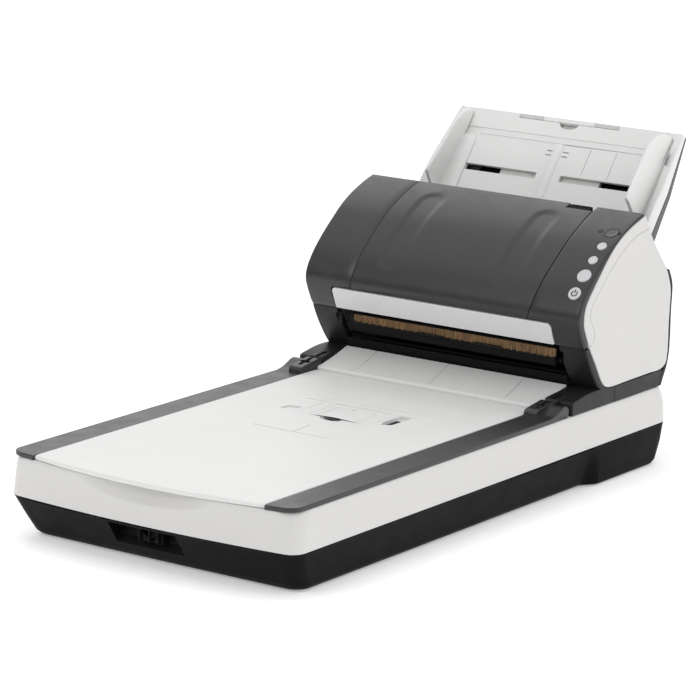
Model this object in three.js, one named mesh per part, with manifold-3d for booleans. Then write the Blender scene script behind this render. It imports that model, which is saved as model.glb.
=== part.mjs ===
// Flatbed document scanner with a top-mounted automatic document feeder.
// Millimetres, +Z up. +X is the object's right as seen from its front, -Y is its front.
// Most pieces are prisms along X, written as (y, z) sections, because the feeder is
// one long section across the machine.
import * as THREE from 'three';
import { mergeVertices } from 'three/addons/utils/BufferGeometryUtils.js';
import Module from 'manifold-3d';

const wasm = await Module();
wasm.setup();

// ---------- driving dimensions ----------
const GAP = 0.3;               // running gap between neighbours
const SHIFT_Y = -33.21;        // puts the middle of the whole length on the origin
const BASE_HALF = 150;         // half width of the base
const BASE_FRONT = -282.3;     // middle of the front face at the colour break
const BASE_REAR = 288.5;
const BREAK_Z = 37.1;          // black tray below, pale cover above
const BASE_TOP = 70.9;
const LID_Z0 = 71.2, LID_Z1 = 75;
const PANEL_HALF = 119.6;      // pale middle of the lid
const STRIP_IN = 119.9, STRIP_OUT = 147.8;
const LID_AXIS = [117, 75.5];  // y, z of the lid hinge
const FEED_HALF = 148.3;       // half width of the feeder
const COVER_HALF = 97.0;       // half width of the opening feeder cover
const PIVOT = [158, 111];      // y, z of the feeder cover's pivot
const SIDE_X0 = 145.7, SIDE_X1 = 148.5;
const CHUTE_TOP = [344, 286];  // y, z of the chute's top edge
const CHUTE_DEG = 52;
const GUIDE_TRAVEL = 60;

// ---------- helpers ----------
const group = new THREE.Group();
const frame = new THREE.Group();
frame.position.y = SHIFT_Y;
group.add(frame);

const MATS = {
  pale: [0xe4e4e3, 0.5, 0], pale2: [0xd6d5d4, 0.5, 0], dark: [0x46464a, 0.42, 0], black: [0x1c1c1d, 0.5, 0],
  grey: [0x8f9092, 0.5, 0], steel: [0xb4b6b8, 0.35, 0.9], rubber: [0x26262a, 0.85, 0], glass: [0x9fb2b0, 0.08, 0],
  brush: [0x7a6040, 0.9, 0], button: [0xc6c8ca, 0.4, 0], pcb: [0x2c5a3a, 0.6, 0], white: [0xf2f2f0, 0.7, 0], green: [0x6f8f70, 0.4, 0],
};
function strip(geo) {
  const g = geo.index ? geo : geo.clone();
  g.deleteAttribute('normal');
  g.deleteAttribute('uv');
  return mergeVertices(g, 1e-4);
}
function man(geo) {
  const g = strip(geo);
  return new wasm.Manifold(new wasm.Mesh({
    numProp: 3,
    vertProperties: new Float32Array(g.attributes.position.array),
    triVerts: new Uint32Array(g.index.array),
  }));
}
function geom(m) {
  const q = m.getMesh();
  const g = new THREE.BufferGeometry();
  g.setAttribute('position', new THREE.BufferAttribute(new Float32Array(q.vertProperties), 3));
  g.setIndex(new THREE.BufferAttribute(new Uint32Array(q.triVerts), 1));
  g.computeVertexNormals();
  return g;
}
function put(name, solid, mat) {
  const [color, roughness, metalness] = MATS[mat];
  const mesh = new THREE.Mesh(solid.getMesh ? geom(solid) : geom(man(solid)),
    new THREE.MeshStandardMaterial({ color, roughness, metalness }));
  mesh.name = name;
  frame.add(mesh);
}
const toShape = (pts) => new THREE.Shape(pts.map(([a, b]) => new THREE.Vector2(a, b)));
const PERM_X = new THREE.Matrix4().makeBasis(new THREE.Vector3(0, 1, 0), new THREE.Vector3(0, 0, 1), new THREE.Vector3(1, 0, 0));
// section in (y, z), run along X
function exX(pts, x0, x1, hole) {
  const s = toShape(pts);
  if (hole) s.holes.push(toShape(hole));
  const g = new THREE.ExtrudeGeometry(s, { depth: x1 - x0, bevelEnabled: false });
  g.applyMatrix4(PERM_X);
  g.translate(x0, 0, 0);
  return man(g);
}
// section in (x, y), run along Z
function exZ(pts, z0, z1) {
  const g = new THREE.ExtrudeGeometry(toShape(pts), { depth: z1 - z0, bevelEnabled: false });
  g.translate(0, 0, z0);
  return man(g);
}
function box(x0, x1, y0, y1, z0, z1) {
  const g = new THREE.BoxGeometry(x1 - x0, y1 - y0, z1 - z0);
  g.translate((x0 + x1) / 2, (y0 + y1) / 2, (z0 + z1) / 2);
  return man(g);
}
// turned piece: profile of [radius, x], axis along X through (y, z)
function turnX(profile, y, z, seg = 18) {
  const g = new THREE.LatheGeometry(profile.map(([r, a]) => new THREE.Vector2(r, a)), seg);
  g.rotateZ(-Math.PI / 2);
  g.translate(0, y, z);
  return man(g);
}
function rodX(r, x0, x1, y, z, seg = 16) {
  return turnX([[0, x0], [r, x0], [r, x1], [0, x1]], y, z, seg);
}
// turned piece about an arbitrary direction: profile of [radius, along]
function turnDir(profile, origin, dir, seg = 20) {
  const g = new THREE.LatheGeometry(profile.map(([r, a]) => new THREE.Vector2(r, a)), seg);
  g.applyQuaternion(new THREE.Quaternion().setFromUnitVectors(new THREE.Vector3(0, 1, 0), dir));
  g.translate(...origin);
  return man(g);
}
// loft through rings that all hold the same number of points
function loft(rings) {
  const n = rings[0].length;
  const pos = [];
  rings.forEach((r) => r.forEach((p) => pos.push(...p)));
  const idx = [];
  for (let k = 0; k + 1 < rings.length; k++) {
    for (let i = 0; i < n; i++) {
      const j = (i + 1) % n;
      const a = k * n + i, b = k * n + j, c = (k + 1) * n + j, d = (k + 1) * n + i;
      idx.push(a, b, c, a, c, d);
    }
  }
  const cap = (ring, off, flip, ax, ay) => {
    const c2 = ring.map((p) => new THREE.Vector2(p[ax], p[ay]));
    const ccw = THREE.ShapeUtils.area(c2) > 0;
    const tri = THREE.ShapeUtils.triangulateShape(c2, []);
    tri.forEach(([a, b, c]) => {
      const fwd = ccw !== flip;
      idx.push(...(fwd ? [off + a, off + b, off + c] : [off + a, off + c, off + b]));
    });
  };
  return { pos, idx, n, cap, rings };
}
function loftZ(rings) {            // rings stacked in +Z, counter-clockwise seen from above
  const L = loft(rings);
  L.cap(rings[0], 0, true, 0, 1);
  L.cap(rings[rings.length - 1], (rings.length - 1) * L.n, false, 0, 1);
  const g = new THREE.BufferGeometry();
  g.setAttribute('position', new THREE.BufferAttribute(new Float32Array(L.pos), 3));
  g.setIndex(L.idx);
  return man(g);
}
function offset(line, d) {          // open polyline moved d to its left
  return line.map((p, i) => {
    const a = line[Math.max(0, i - 1)], b = line[Math.min(line.length - 1, i + 1)];
    const t = [b[0] - a[0], b[1] - a[1]];
    const l = Math.hypot(...t);
    return [p[0] - (t[1] / l) * d, p[1] + (t[0] / l) * d];
  });
}

// ---------- base ----------
// plan outline: bowed front, rounded corners, optional narrower sides ahead of the rear foot
function plan(z, hw, front, bow, rear, inset = 0, rf = 17, rr = 18, flare = 0) {
  const pts = [];
  const w = hw - inset, f = front + inset, r = rear - inset;
  const R1 = Math.max(3, rf - inset), R2 = Math.max(3, rr - inset);
  const side = (y) => { const t = Math.min(1, Math.max(0, (y - 152) / 18)); return w - flare * (1 - t * t * (3 - 2 * t)); };
  const wf = side(-200);
  const fy = (x) => f + bow * (x / 135) ** 2;
  for (let i = 0; i <= 8; i++) { const x = -(wf - R1) + (2 * (wf - R1) * i) / 8; pts.push([x, fy(x), z]); }
  const yc = fy(wf - R1) + R1;
  for (let i = 1; i <= 4; i++) { const a = -Math.PI / 2 + (Math.PI / 2) * (i / 4); pts.push([wf - R1 + R1 * Math.cos(a), yc + R1 * Math.sin(a), z]); }
  [150, 156, 161, 166, 171].forEach((y) => pts.push([side(y), y, z]));
  for (let i = 0; i <= 4; i++) { const a = (Math.PI / 2) * (i / 4); pts.push([w - R2 + R2 * Math.cos(a), r - R2 + R2 * Math.sin(a), z]); }
  for (let i = 0; i <= 4; i++) { const a = Math.PI / 2 + (Math.PI / 2) * (i / 4); pts.push([-(w - R2) + R2 * Math.cos(a), r - R2 + R2 * Math.sin(a), z]); }
  [171, 166, 161, 156, 150].forEach((y) => pts.push([-side(y), y, z]));
  for (let i = 0; i <= 3; i++) { const a = Math.PI + (Math.PI / 2) * (i / 4); pts.push([-(wf - R1) + R1 * Math.cos(a), yc + R1 * Math.sin(a), z]); }
  return pts;
}
{
  const outer = loftZ([
    plan(1.5, 148.5, -255.5, 1, 270.5, 0, 14, 16, 9.8), plan(4.5, 149.6, -259.8, 1.6, 275.5, 0, 15, 17, 8.0),
    plan(20, 150, -270.8, 4, 283.5, 0, 16, 18, 4.4), plan(BREAK_Z - GAP, BASE_HALF, BASE_FRONT + 0.2, 6.7, BASE_REAR, 0, 17, 18, 0)]);
  const inner = loftZ([
    plan(4.5, 149.6, -257.8, 1.6, 274.5, 3, 15, 17, 8.2), plan(20, 150, -268.8, 4, 282.5, 3, 16, 18, 4.6),
    plan(40, BASE_HALF, BASE_FRONT + 1.4, 6.7, BASE_REAR, 3, 17, 18, 0)]);
  // boxed-in pocket for the transport lock, open to the front
  const pocketWall = box(-42, 36, -268, -255, 10.5, 34.9);
  const pocket = exX([[-300, 13], [-262, 13], [-262, 20.6], [-262, 33.4], [-300, 33.4]], -37, 30.5);
  const seats = box(-8, 8, -252, -246, 4, 15.7).add(box(-8, 8, 244, 250, 4, 15.7));
  put('base_tray', outer.subtract(inner).add(pocketWall.intersect(outer)).add(seats).subtract(pocket), 'black');
}
{
  const outer = loftZ([
    plan(BREAK_Z, BASE_HALF, BASE_FRONT, 6.7, BASE_REAR), plan(52, 150, -284, 8.3, 288), plan(62, 149.8, -285.6, 9.6, 285.2),
    plan(67.5, 149.3, -286.2, 10.6, 282), plan(BASE_TOP, 147.6, -285.4, 11.2, 279.5)]);
  const inner = loftZ([
    plan(30, BASE_HALF, BASE_FRONT, 6.7, BASE_REAR, 3.2), plan(52, 150, -284, 8.3, 288, 3.2), plan(64, 149.6, -285.8, 9.8, 284, 3.2),
    plan(67.9, 146, -282, 11, 276, 3.2)]);
  const aperture = box(-112, 112, -243, 98, 60, 80);
  // finger scoop under the lid lip
  const scoop = new THREE.SphereGeometry(1, 24, 14);
  scoop.scale(70, 15, 15.5);
  scoop.translate(4, -290, 71.4);
  const scoopWall = new THREE.SphereGeometry(1, 20, 12);
  scoopWall.scale(73, 18, 18.4);
  scoopWall.translate(4, -290, 71.4);
  const wall = man(scoopWall).intersect(outer);
  put('base_upper_cover', outer.subtract(inner).subtract(aperture).add(wall).subtract(man(scoop)).subtract(box(-200, 200, -300, 300, 20, BREAK_Z)), 'pale2');
}
put('platen_glass', box(-117, 117, -248, 103, 64.4, 67.6), 'glass');
[['front_left', -118, -236], ['front_right', 118, -236], ['rear_left', -124, 240], ['rear_right', 124, 240]].forEach(([n, x, y]) => {
  put('foot_' + n, turnDir([[0, 0], [8.2, 0], [9, 0.4], [9, 1.2], [0, 1.2]], [x, y, 0], new THREE.Vector3(0, 1, 0).applyAxisAngle(new THREE.Vector3(1, 0, 0), Math.PI / 2), 16), 'rubber');
});
{
  const g = new THREE.CylinderGeometry(4, 4, 504, 16);
  g.translate(0, 0, 20);
  put('carriage_rail', man(g), 'steel');
  const c = box(-112, 112, -246, -206, 31, 58).add(box(-16, 16, -240, -212, 14.5, 31.5)).subtract(box(-4.7, 4.7, -260, -190, 10, 25))
    .add(box(84, 96, -230, -222, 28.4, 31.2)).add(box(-108, 108, -242, -210, 57, 61.5)).subtract(box(-104, 104, -228, -224, 56, 70));
  put('scan_carriage', c, 'black');
  const ring = (r, n = 10) => {
    const p = [];
    for (let i = 0; i <= n; i++) { const a = -Math.PI / 2 + Math.PI * (i / n); p.push([150 + r * Math.cos(a), 20 + r * Math.sin(a)]); }
    for (let i = 0; i <= n; i++) { const a = Math.PI / 2 + Math.PI * (i / n); p.push([-245 + r * Math.cos(a), 20 + r * Math.sin(a)]); }
    return p;
  };
  put('drive_belt', exX(ring(8.0), 86, 94, ring(7.2).reverse()), 'rubber');
  put('drive_pulley', turnX([[0, 84.5], [8.6, 84.5], [8.6, 85.7], [6.9, 85.7], [6.9, 94.3], [8.6, 94.3], [8.6, 95.5], [0, 95.5]], 150, 20), 'white');
  put('idler_pulley', turnX([[0, 84.5], [8.6, 84.5], [8.6, 85.7], [6.9, 85.7], [6.9, 94.3], [8.6, 94.3], [8.6, 95.5], [0, 95.5]], -245, 20), 'white');
  put('carriage_motor', turnX([[0, 50], [14, 50], [14, 80], [5, 80], [5, 83.8], [0, 83.8]], 150, 20, 20), 'steel');
}
{
  const s = box(-14, 12, -270.6, -262.6, 21, 32.4);
  put('transport_lock', s.add(box(-11.4, -9.6, -273.4, -270, 21, 32.4)).add(box(-1.4, 0.4, -273.4, -270, 21, 32.4)).add(box(7.6, 9.4, -273.4, -270, 21, 32.4)), 'black');
}

// ---------- document cover ----------
const lidFront = (x, in0 = 0) => -287 + in0 + 11.5 * (x / 118) ** 2;
{
  const ring = (z, inset) => {
    const p = [];
    for (let i = 0; i <= 12; i++) { const x = -PANEL_HALF + (2 * PANEL_HALF * i) / 12; p.push([x, lidFront(x, inset), z]); }
    p.push([PANEL_HALF, 113, z], [-PANEL_HALF, 113, z]);
    return p;
  };
  // pocket that holds the stopper flap flush in the top of the panel
  const pocket = box(-28, 28, -22.6, 20.8, 72.4, 80);
  const finger = exZ([[-14, -30], [10, -30], [8, -25], [3, -22], [-7, -22], [-12, -25]], 72.4, 80);
  const toeR = box(40, 52, -14, 21, 72.6, 80);
  put('lid_panel', loftZ([ring(LID_Z0, 0.3), ring(74, 0), ring(LID_Z1, 1.6)]).subtract(pocket).subtract(finger).subtract(toeR), 'pale');
  put('stopper_flap', box(-27.6, 27.6, -22.2, 20.2, 72.7, 74.9).subtract(exZ([[-11, -30], [7, -30], [4, -18.5], [-8, -18.5]], 70, 80)), 'pale');
}
[1, -1].forEach((s) => {
  const sect = [[-279, 71.2], [-279, 73.8], [-277.8, 75], [88, 75], [98, 76.3], [107, 79.8], [112, 81.8], [115.5, 82.2], [119.3, 80.8], [121.2, 78.2], [121.3, 75.5],
    [120.4, 72.9], [118.6, 71.5], [117, 71.2]];
  const body = exX(sect, STRIP_IN, STRIP_OUT);
  const p = [[STRIP_IN, -280]];
  for (let i = 0; i <= 6; i++) { const a = -Math.PI / 2 + (Math.PI / 2) * (i / 6); p.push([STRIP_OUT - 15 + 15 * Math.cos(a), -262 + 13 * Math.sin(a) - 0.5]); }
  p[0][1] = -276.6;
  p.push([STRIP_OUT, 130], [STRIP_IN, 130]);
  let solid = body.intersect(exZ(p, 60, 90));
  // latch slot in the hinge arm
  solid = solid.subtract(box(127, 133, 92, 110, 74.5, 90));
  if (s < 0) solid = solid.mirror([1, 0, 0]);
  put(s > 0 ? 'lid_strip_right' : 'lid_strip_left', solid, 'dark');
});
put('lid_pad', box(-111, 111, -242, 97, 68.2, 70.8), 'white');

// ---------- feeder sections ----------
const P = [[235.6, 234], [229, 232.2], [217, 228], [201.5, 221.2], [186.1, 212.7], [170.9, 201.6], [155.8, 188.8], [145.5, 178.6], [138, 169], [134.1, 162],
  [132.6, 157], [132.4, 152.5], [134.2, 146], [141.5, 130.5], [143.8, 127.3]];
const SIDE = [[237.3, 231.7], [227.5, 229.2], [211.2, 223.6], [195.2, 215.9], [179.5, 204.2], [164.1, 188.9], [156.4, 180.9], [148.8, 172.8], [142.8, 164.1],
  [140.9, 154.7], [141.2, 148.4], [145.7, 137.8], [151.1, 127], [159.8, 113.3], [165.2, 104.6], [171.4, 94.5], [177.4, 88.5], [182.4, 86.7], [189, 85.9],
  [218.8, 86.2], [252.5, 86.4], [271.2, 86.6], [279.2, 90.6], [282.0, 100.2], [282.9, 129.6], [284.2, 147.7], [284.5, 156.9], [281.8, 166.6], [277.8, 175.5],
  [263.1, 194.3], [252.1, 207.8], [244.7, 218.9], [241, 226.2]];
const inside = offset(P, 3);
// paper path, upper surface of the lower guide, from the throat to the exit
const PATH = [[265.4, 185.4], [245.5, 159.9], [233.2, 144.2], [221, 130.5], [207, 118.5], [192, 109.5], [176, 103], [163, 99.5]];
const PICK = [259.5, 161.6], FEED = [227.3, 124.1], EJECT = [178.4, 95.9], BRAKE = [243.5, 174.1], IDLER = [173.4, 110.7];

// side covers
[1, -1].forEach((s) => {
  let m = exX([...SIDE].reverse(), SIDE_X0, SIDE_X1 - 1).add(exX([...offset([...SIDE, SIDE[0]], 1).slice(0, -1)].reverse(), SIDE_X1 - 1.2, SIDE_X1));
  if (s < 0) m = m.mirror([1, 0, 0]);
  put(s > 0 ? 'side_cover_right' : 'side_cover_left', m, 'pale');
});

// buttons on the operator panel
const onP = (y) => {
  for (let i = 0; i + 1 < P.length; i++) {
    const [a, b] = [P[i], P[i + 1]];
    if (y <= a[0] && y >= b[0]) {
      const t = (a[0] - y) / (a[0] - b[0]);
      const d = new THREE.Vector3(0, -(a[1] - b[1]), a[0] - b[0]).normalize();
      return { p: [y, a[1] + t * (b[1] - a[1])], n: d };
    }
  }
};
const BUTTONS = [['function_button', 137.2, 184, 4.5, 'button'], ['send_button', 137.0, 170.3, 4.5, 'button'], ['scan_stop_button', 137.0, 156.6, 6.7, 'button'], ['power_button', 136.2, 143.2, 6.1, 'button']];
const LENSES = [['status_display', 136.1, 200.9, 6.6, 'dark'], ['check_lamp', 124.8, 200.6, 1.8, 'grey']];
{
  const band = [...P, ...[...offset(SIDE.slice(0, 13), -0.35)].reverse()];
  const shell = exX([...P, ...[...inside].reverse()], COVER_HALF + 0.6, 145.4);
  const make = (withButtons) => {
    let m = shell.add(exX(band, 145.2, FEED_HALF));
    m = m.subtract(exX([[120, 149], [150, 149], [160, 120], [120, 120]], 90, 119.8));
    if (withButtons) {
      [...BUTTONS, ...LENSES].forEach(([, x, y, r]) => {
        const q = onP(y);
        m = m.subtract(turnDir([[0, -9], [r + GAP, -9], [r + GAP, 6], [0, 6]], [x, q.p[0], q.p[1]], q.n, 20));
      });
    }
    return m;
  };
  put('operator_panel', make(true), 'dark');
  put('front_panel_left', make(false).mirror([1, 0, 0]), 'dark');
}
BUTTONS.forEach(([name, x, y, r, mat]) => {
  const q = onP(y);
  put(name, turnDir([[0, -4.4], [r, -4.4], [r, 0.2], [r - 0.5, 0.9], [0, 1.1]], [x, q.p[0], q.p[1]], q.n, 20), mat);
});
LENSES.forEach(([name, x, y, r, mat]) => {
  const q = onP(y);
  put(name, turnDir([[0, -3.4], [r, -3.4], [r, 0.1], [0, 0.2]], [x, q.p[0], q.p[1]], q.n, 20), mat);
});

// opening cover: shell, webs and pivot eyes
const UNDER = offset(PATH.slice(1), -4.2);
const COVER_P = P.filter(([y, z]) => z > 148);
{
  const nose = [134.0, 148.4];
  const outer = [...COVER_P, nose];
  const inn = offset(outer, 3);
  const shell = exX([...outer, ...[...inn].reverse()], -COVER_HALF, COVER_HALF);
  const web = [...outer, [138.4, 147.6], [147.0, 128.2], [156.8, 125.2], [156.8, 118], [153.8, 114.5], [153.8, 108.8], [157, 105.6], ...[...UNDER].reverse(), [247.2, 170], [243.4, 187], [239.4, 214]];
  let m = shell;
  [1, -1].forEach((s) => {
    let w = exX(web, 94.2, COVER_HALF);
    if (s < 0) w = w.mirror([1, 0, 0]);
    m = m.add(w);
  });
  m = m.subtract(rodX(3.3, -110, 110, PIVOT[0], PIVOT[1]));
  m = m.subtract(exX([[226.5, 245], [250, 245], [250, 222], [226.5, 222]], 71, 110));
  put('adf_cover', m, 'dark');
}
put('cover_release_lever', exX([[228, 231.6], [235.4, 233.6], [236.6, 232.6], [236.4, 226.5], [230, 225], [228.3, 228]], 72, 93.8), 'black');
{
  const under = [[238.6, 222], [243.1, 187], [246.9, 170], ...UNDER.slice(0)];
  const top = offset(under, -2);
  let m = exX([...under, ...[...top].reverse()], -93.8, 93.8);
  m = m.subtract(box(-41, 41, BRAKE[0] - 12, BRAKE[0] + 12, BRAKE[1] - 12, BRAKE[1] + 12));
  m = m.subtract(box(-89, 89, IDLER[0] - 2.3, IDLER[0] + 2.3, IDLER[1] - 9, IDLER[1] + 9));
  [[-66, -50], [-30, -14], [14, 30], [50, 66]].forEach(([a, b]) => { m = m.subtract(box(a, b, IDLER[0] - 8, IDLER[0] + 8, IDLER[1] - 9, IDLER[1] + 9)); });
  put('upper_paper_guide', m, 'black');
}
put('front_strip', exX([[133.4, 147.8], [142.9, 125.2], [145.9, 125.9], [136.6, 147.4]], -119.2, 119.2), 'pale2');
put('brush_holder', exX([[147.6, 123.0], [153.3, 122.4], [153.3, 119.6], [147.6, 119.6]], -112, 112), 'grey');
put('exit_brush', exX([[149, 119.2], [152.6, 119.2], [152, 112.4], [149.4, 112.4]], -110, 110), 'brush');
put('cover_pivot_shaft', rodX(3, -117.4, 117.4, PIVOT[0], PIVOT[1], 14), 'steel');
put('upper_image_sensor', box(-90, 90, 178, 202, 130, 160), 'grey');

// rollers: wheels on one shaft
function roller(name, [y, z], r, shaft, half, wheels, mat) {
  const prof = [[0, -half], [shaft, -half]];
  wheels.forEach(([a, b]) => { prof.push([shaft, a], [r, a], [r, b], [shaft, b]); });
  prof.push([shaft, half], [0, half]);
  put(name, turnX(prof, y, z, 14), mat);
}
roller('pick_roller', PICK, 11, 3, 117, [[-32, -14], [14, 32]], 'rubber');
roller('feed_roller', FEED, 10, 3, 117, [[-88, -72], [-40, -24], [24, 40], [72, 88]], 'rubber');
roller('eject_roller', EJECT, 8.5, 3, 117, [[-64, -52], [-28, -16], [16, 28], [52, 64]], 'rubber');
roller('brake_roller', BRAKE, 9, 2.5, 40, [[-32, -14], [14, 32]], 'rubber');
roller('eject_idlers', IDLER, 5.2, 1.8, 88, [[-64, -52], [-28, -16], [16, 28], [52, 64]], 'grey');

// lower frame with the hinge blocks, the bottom band and the front cheeks
{
  const cheek = [[125.9, 71.2], [125.9, 81.8], [128, 83.2], [145, 86], [161, 87], [169.4, 86.8], [160.4, 98], [154.1, 107.6], [146.2, 122.2], [144.4, 126.9],
    [150.5, 126.6], [159.2, 112.9], [164.6, 104.2], [170.8, 94.0], [176.6, 87.9], [182, 86.2], [189, 85.4], [268, 85.4], [268, 71.2]];
  const wing = exX(cheek, 120.3, FEED_HALF).subtract(box(130, 137, 130, 152, 79, 90));
  const floor = exX([[162, 71.2], [162, 91.5], [164.5, 91.5], [164.5, 74.2], [268, 74.2], [268, 71.2]], -120.6, 120.6);
  put('adf_lower_frame', wing.add(wing.mirror([1, 0, 0])).add(floor), 'dark');
}
{
  const low = offset(PATH, 2.5);
  let m = exX([...PATH, ...[...low].reverse()], -117, 117);
  const cut = (c, r, list) => list.forEach(([a, b]) => { m = m.subtract(box(a - 1, b + 1, c[0] - r - 1.5, c[0] + r + 1.5, c[1] - r - 1.5, c[1] + r + 1.5)); });
  cut(PICK, 11, [[-32, -14], [14, 32]]);
  cut(FEED, 10, [[-88, -72], [-40, -24], [24, 40], [72, 88]]);
  cut(EJECT, 8.5, [[-64, -52], [-28, -16], [16, 28], [52, 64]]);
  put('lower_paper_guide', m, 'black');
}
put('lower_image_sensor', box(-108, 108, 189.5, 213, 80, 101.5), 'grey');
put('exit_ramp', exX([[114.6, 71.3], [118, 71.3], [118, 75.0], [130, 77.8], [145, 81.5], [160, 86], [160, 88.8], [145, 84.3], [130, 80.6], [116.8, 78.1], [115.3, 77.5], [114.6, 76.3]].reverse(), -119.6, 119.6), 'pale');
[1, -1].forEach((s) => {
  let m = exX([[168, 106], [180, 88], [186, 75], [258, 75], [262, 100], [268, 150], [262, 170], [249, 157], [222, 127], [205, 113], [182, 110]].reverse(), 117.9, 119.7);
  [PICK, FEED, EJECT].forEach((c) => { m = m.subtract(rodX(3.4, 110, 125, c[0], c[1])); });
  if (s < 0) m = m.mirror([1, 0, 0]);
  put(s > 0 ? 'side_frame_right' : 'side_frame_left', m, 'steel');
});
put('adf_motor', turnX([[0, -114], [14, -114], [14, -80], [4, -80], [4, -74], [0, -74]], 243, 94, 20), 'steel');
put('main_board', box(-66, 100, 262.5, 264.1, 78, 140), 'pcb');

// rear cover with the two shoulders beside the chute
{
  const wall = [[271.8, 71.3], [275, 77], [281.4, 88.4], [284.9, 101.6], [286.1, 138.3], [287.2, 161.1], [284.8, 168.8], [280.6, 176.8],
    [278.5, 175.9], [282.3, 167.0], [285.0, 157], [284.7, 147.7], [283.4, 129.6], [282.5, 100.2], [279.7, 90.3], [271.4, 80], [268.5, 71.3]];
  const line = [[279.8, 177.4], [264.3, 195.2], [253.3, 208.6], [245.8, 219.6], [242.0, 226.9], [238.6, 232.8]];
  const shoulder = [[281.2, 176.4], ...line.slice(1), ...[...offset(line, 2.6)].reverse().slice(0, -1), [278.0, 175.2]];
  let m = exX(wall, -FEED_HALF, FEED_HALF);
  [1, -1].forEach((s) => {
    let w = exX(shoulder, 128.4, 145.3);
    if (s < 0) w = w.mirror([1, 0, 0]);
    m = m.add(w);
  });
  m = m.subtract(box(71.6, 84.4, 260, 300, 95.6, 107.4)).subtract(box(91.6, 103.4, 260, 300, 95.6, 107.4));
  put('rear_cover', m, 'dark');
}
put('usb_port', box(72, 84, 270, 285.4, 96, 107).subtract(box(74, 82, 274, 290, 98, 105)), 'steel');
put('dc_inlet', box(92, 103, 270, 285.4, 96, 107).subtract(turnDir([[0, -10], [3.6, -10], [3.6, 12], [0, 12]], [97.5, 284, 101.5], new THREE.Vector3(0, 1, 0), 16)), 'black');

// ---------- chute, in its own (x, s, n) frame: s along the paper, n off the surface ----------
const CS = Math.cos((CHUTE_DEG * Math.PI) / 180), SN = Math.sin((CHUTE_DEG * Math.PI) / 180);
const C = (s, n) => [CHUTE_TOP[0] + s * CS - n * SN, CHUTE_TOP[1] + s * SN + n * CS];
const cx = (pts, x0, x1) => exX(pts.map(([s, n]) => C(s, n)), x0, x1);
const cbox = (x0, x1, s0, s1, n0, n1) => cx([[s0, n0], [s1, n0], [s1, n1], [s0, n1]], x0, x1);
const halfAt = (s) => 122.6 + 4.9 * Math.min(1, -s / 60);
const rimAt = (s) => 2.6 + 8.4 * Math.min(1, -s / 80);
function loftS(stations, section) {
  const rings = stations.map((s) => section(s).map(([x, n]) => { const q = C(s, n); return [x, q[0], q[1]]; }));
  const L = loft(rings);
  const proj = (ring, off, flip) => L.cap(ring.map((p) => [p[0], (p[2] - CHUTE_TOP[1]) * CS - (p[1] - CHUTE_TOP[0]) * SN]), off, flip, 0, 1);
  proj(rings[0], 0, true);
  proj(rings[rings.length - 1], (rings.length - 1) * L.n, false);
  const g = new THREE.BufferGeometry();
  g.setAttribute('position', new THREE.BufferAttribute(new Float32Array(L.pos), 3));
  g.setIndex(L.idx);
  return man(g);
}
{
  let m = loftS([0, -20, -40, -60, -80, -124.5], (s) => {
    const X = halfAt(s) - 2.5, N = rimAt(s);
    return [[-X, -1.2], [X, -1.2], [X, N - 0.6], [X - 1.2, N], [113.2, 2], [-113.2, 2], [-X + 1.2, N], [-X, N - 0.6]];
  });
  m = m.add(cbox(-90, 90, -26, -18, 1, 2.6)).add(cbox(-104, 104, -20, -0.02, 1, 3.2));
  m = m.add(cbox(-4.5, 4.5, -118, -26.2, 1, 4.2)).add(cbox(-12, 12, -38, -34, 1, 4.2));
  m = m.subtract(cbox(-54.6, 54.6, -5, 5, -5, 8));
  [1, -1].forEach((k) => {
    const a = k > 0 ? [13, 91] : [-91, -13], b = k > 0 ? [28, 100] : [-100, -28];
    m = m.subtract(cbox(...a, -64.5, -58, -5, 6)).subtract(cbox(...b, -108.2, -103.8, -5, 6));
  });
  put('chute_tray', m, 'pale');
}
{
  const back = (s) => -4.2 - 0.066 * -s;
  const m = loftS([-0.3, -30, -60, -100, -124.5], (s) => {
    const X = halfAt(s), N = rimAt(s) - 0.5, B = back(s);
    return [[-X, N], [-X, B], [-64, -12.2], [64, -12.2], [X, B], [X, N], [X - 2.1, N], [X - 2.1, B + 2.4], [62, -9.9], [-62, -9.9], [-X + 2.1, B + 2.4], [-X + 2.1, N]];
  });
  // raised floor behind the inner ends of the two slots
  put('chute_shell', m.add(cbox(-51, 51, -70, -52, -10.4, -7.8)), 'dark');
}
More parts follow.
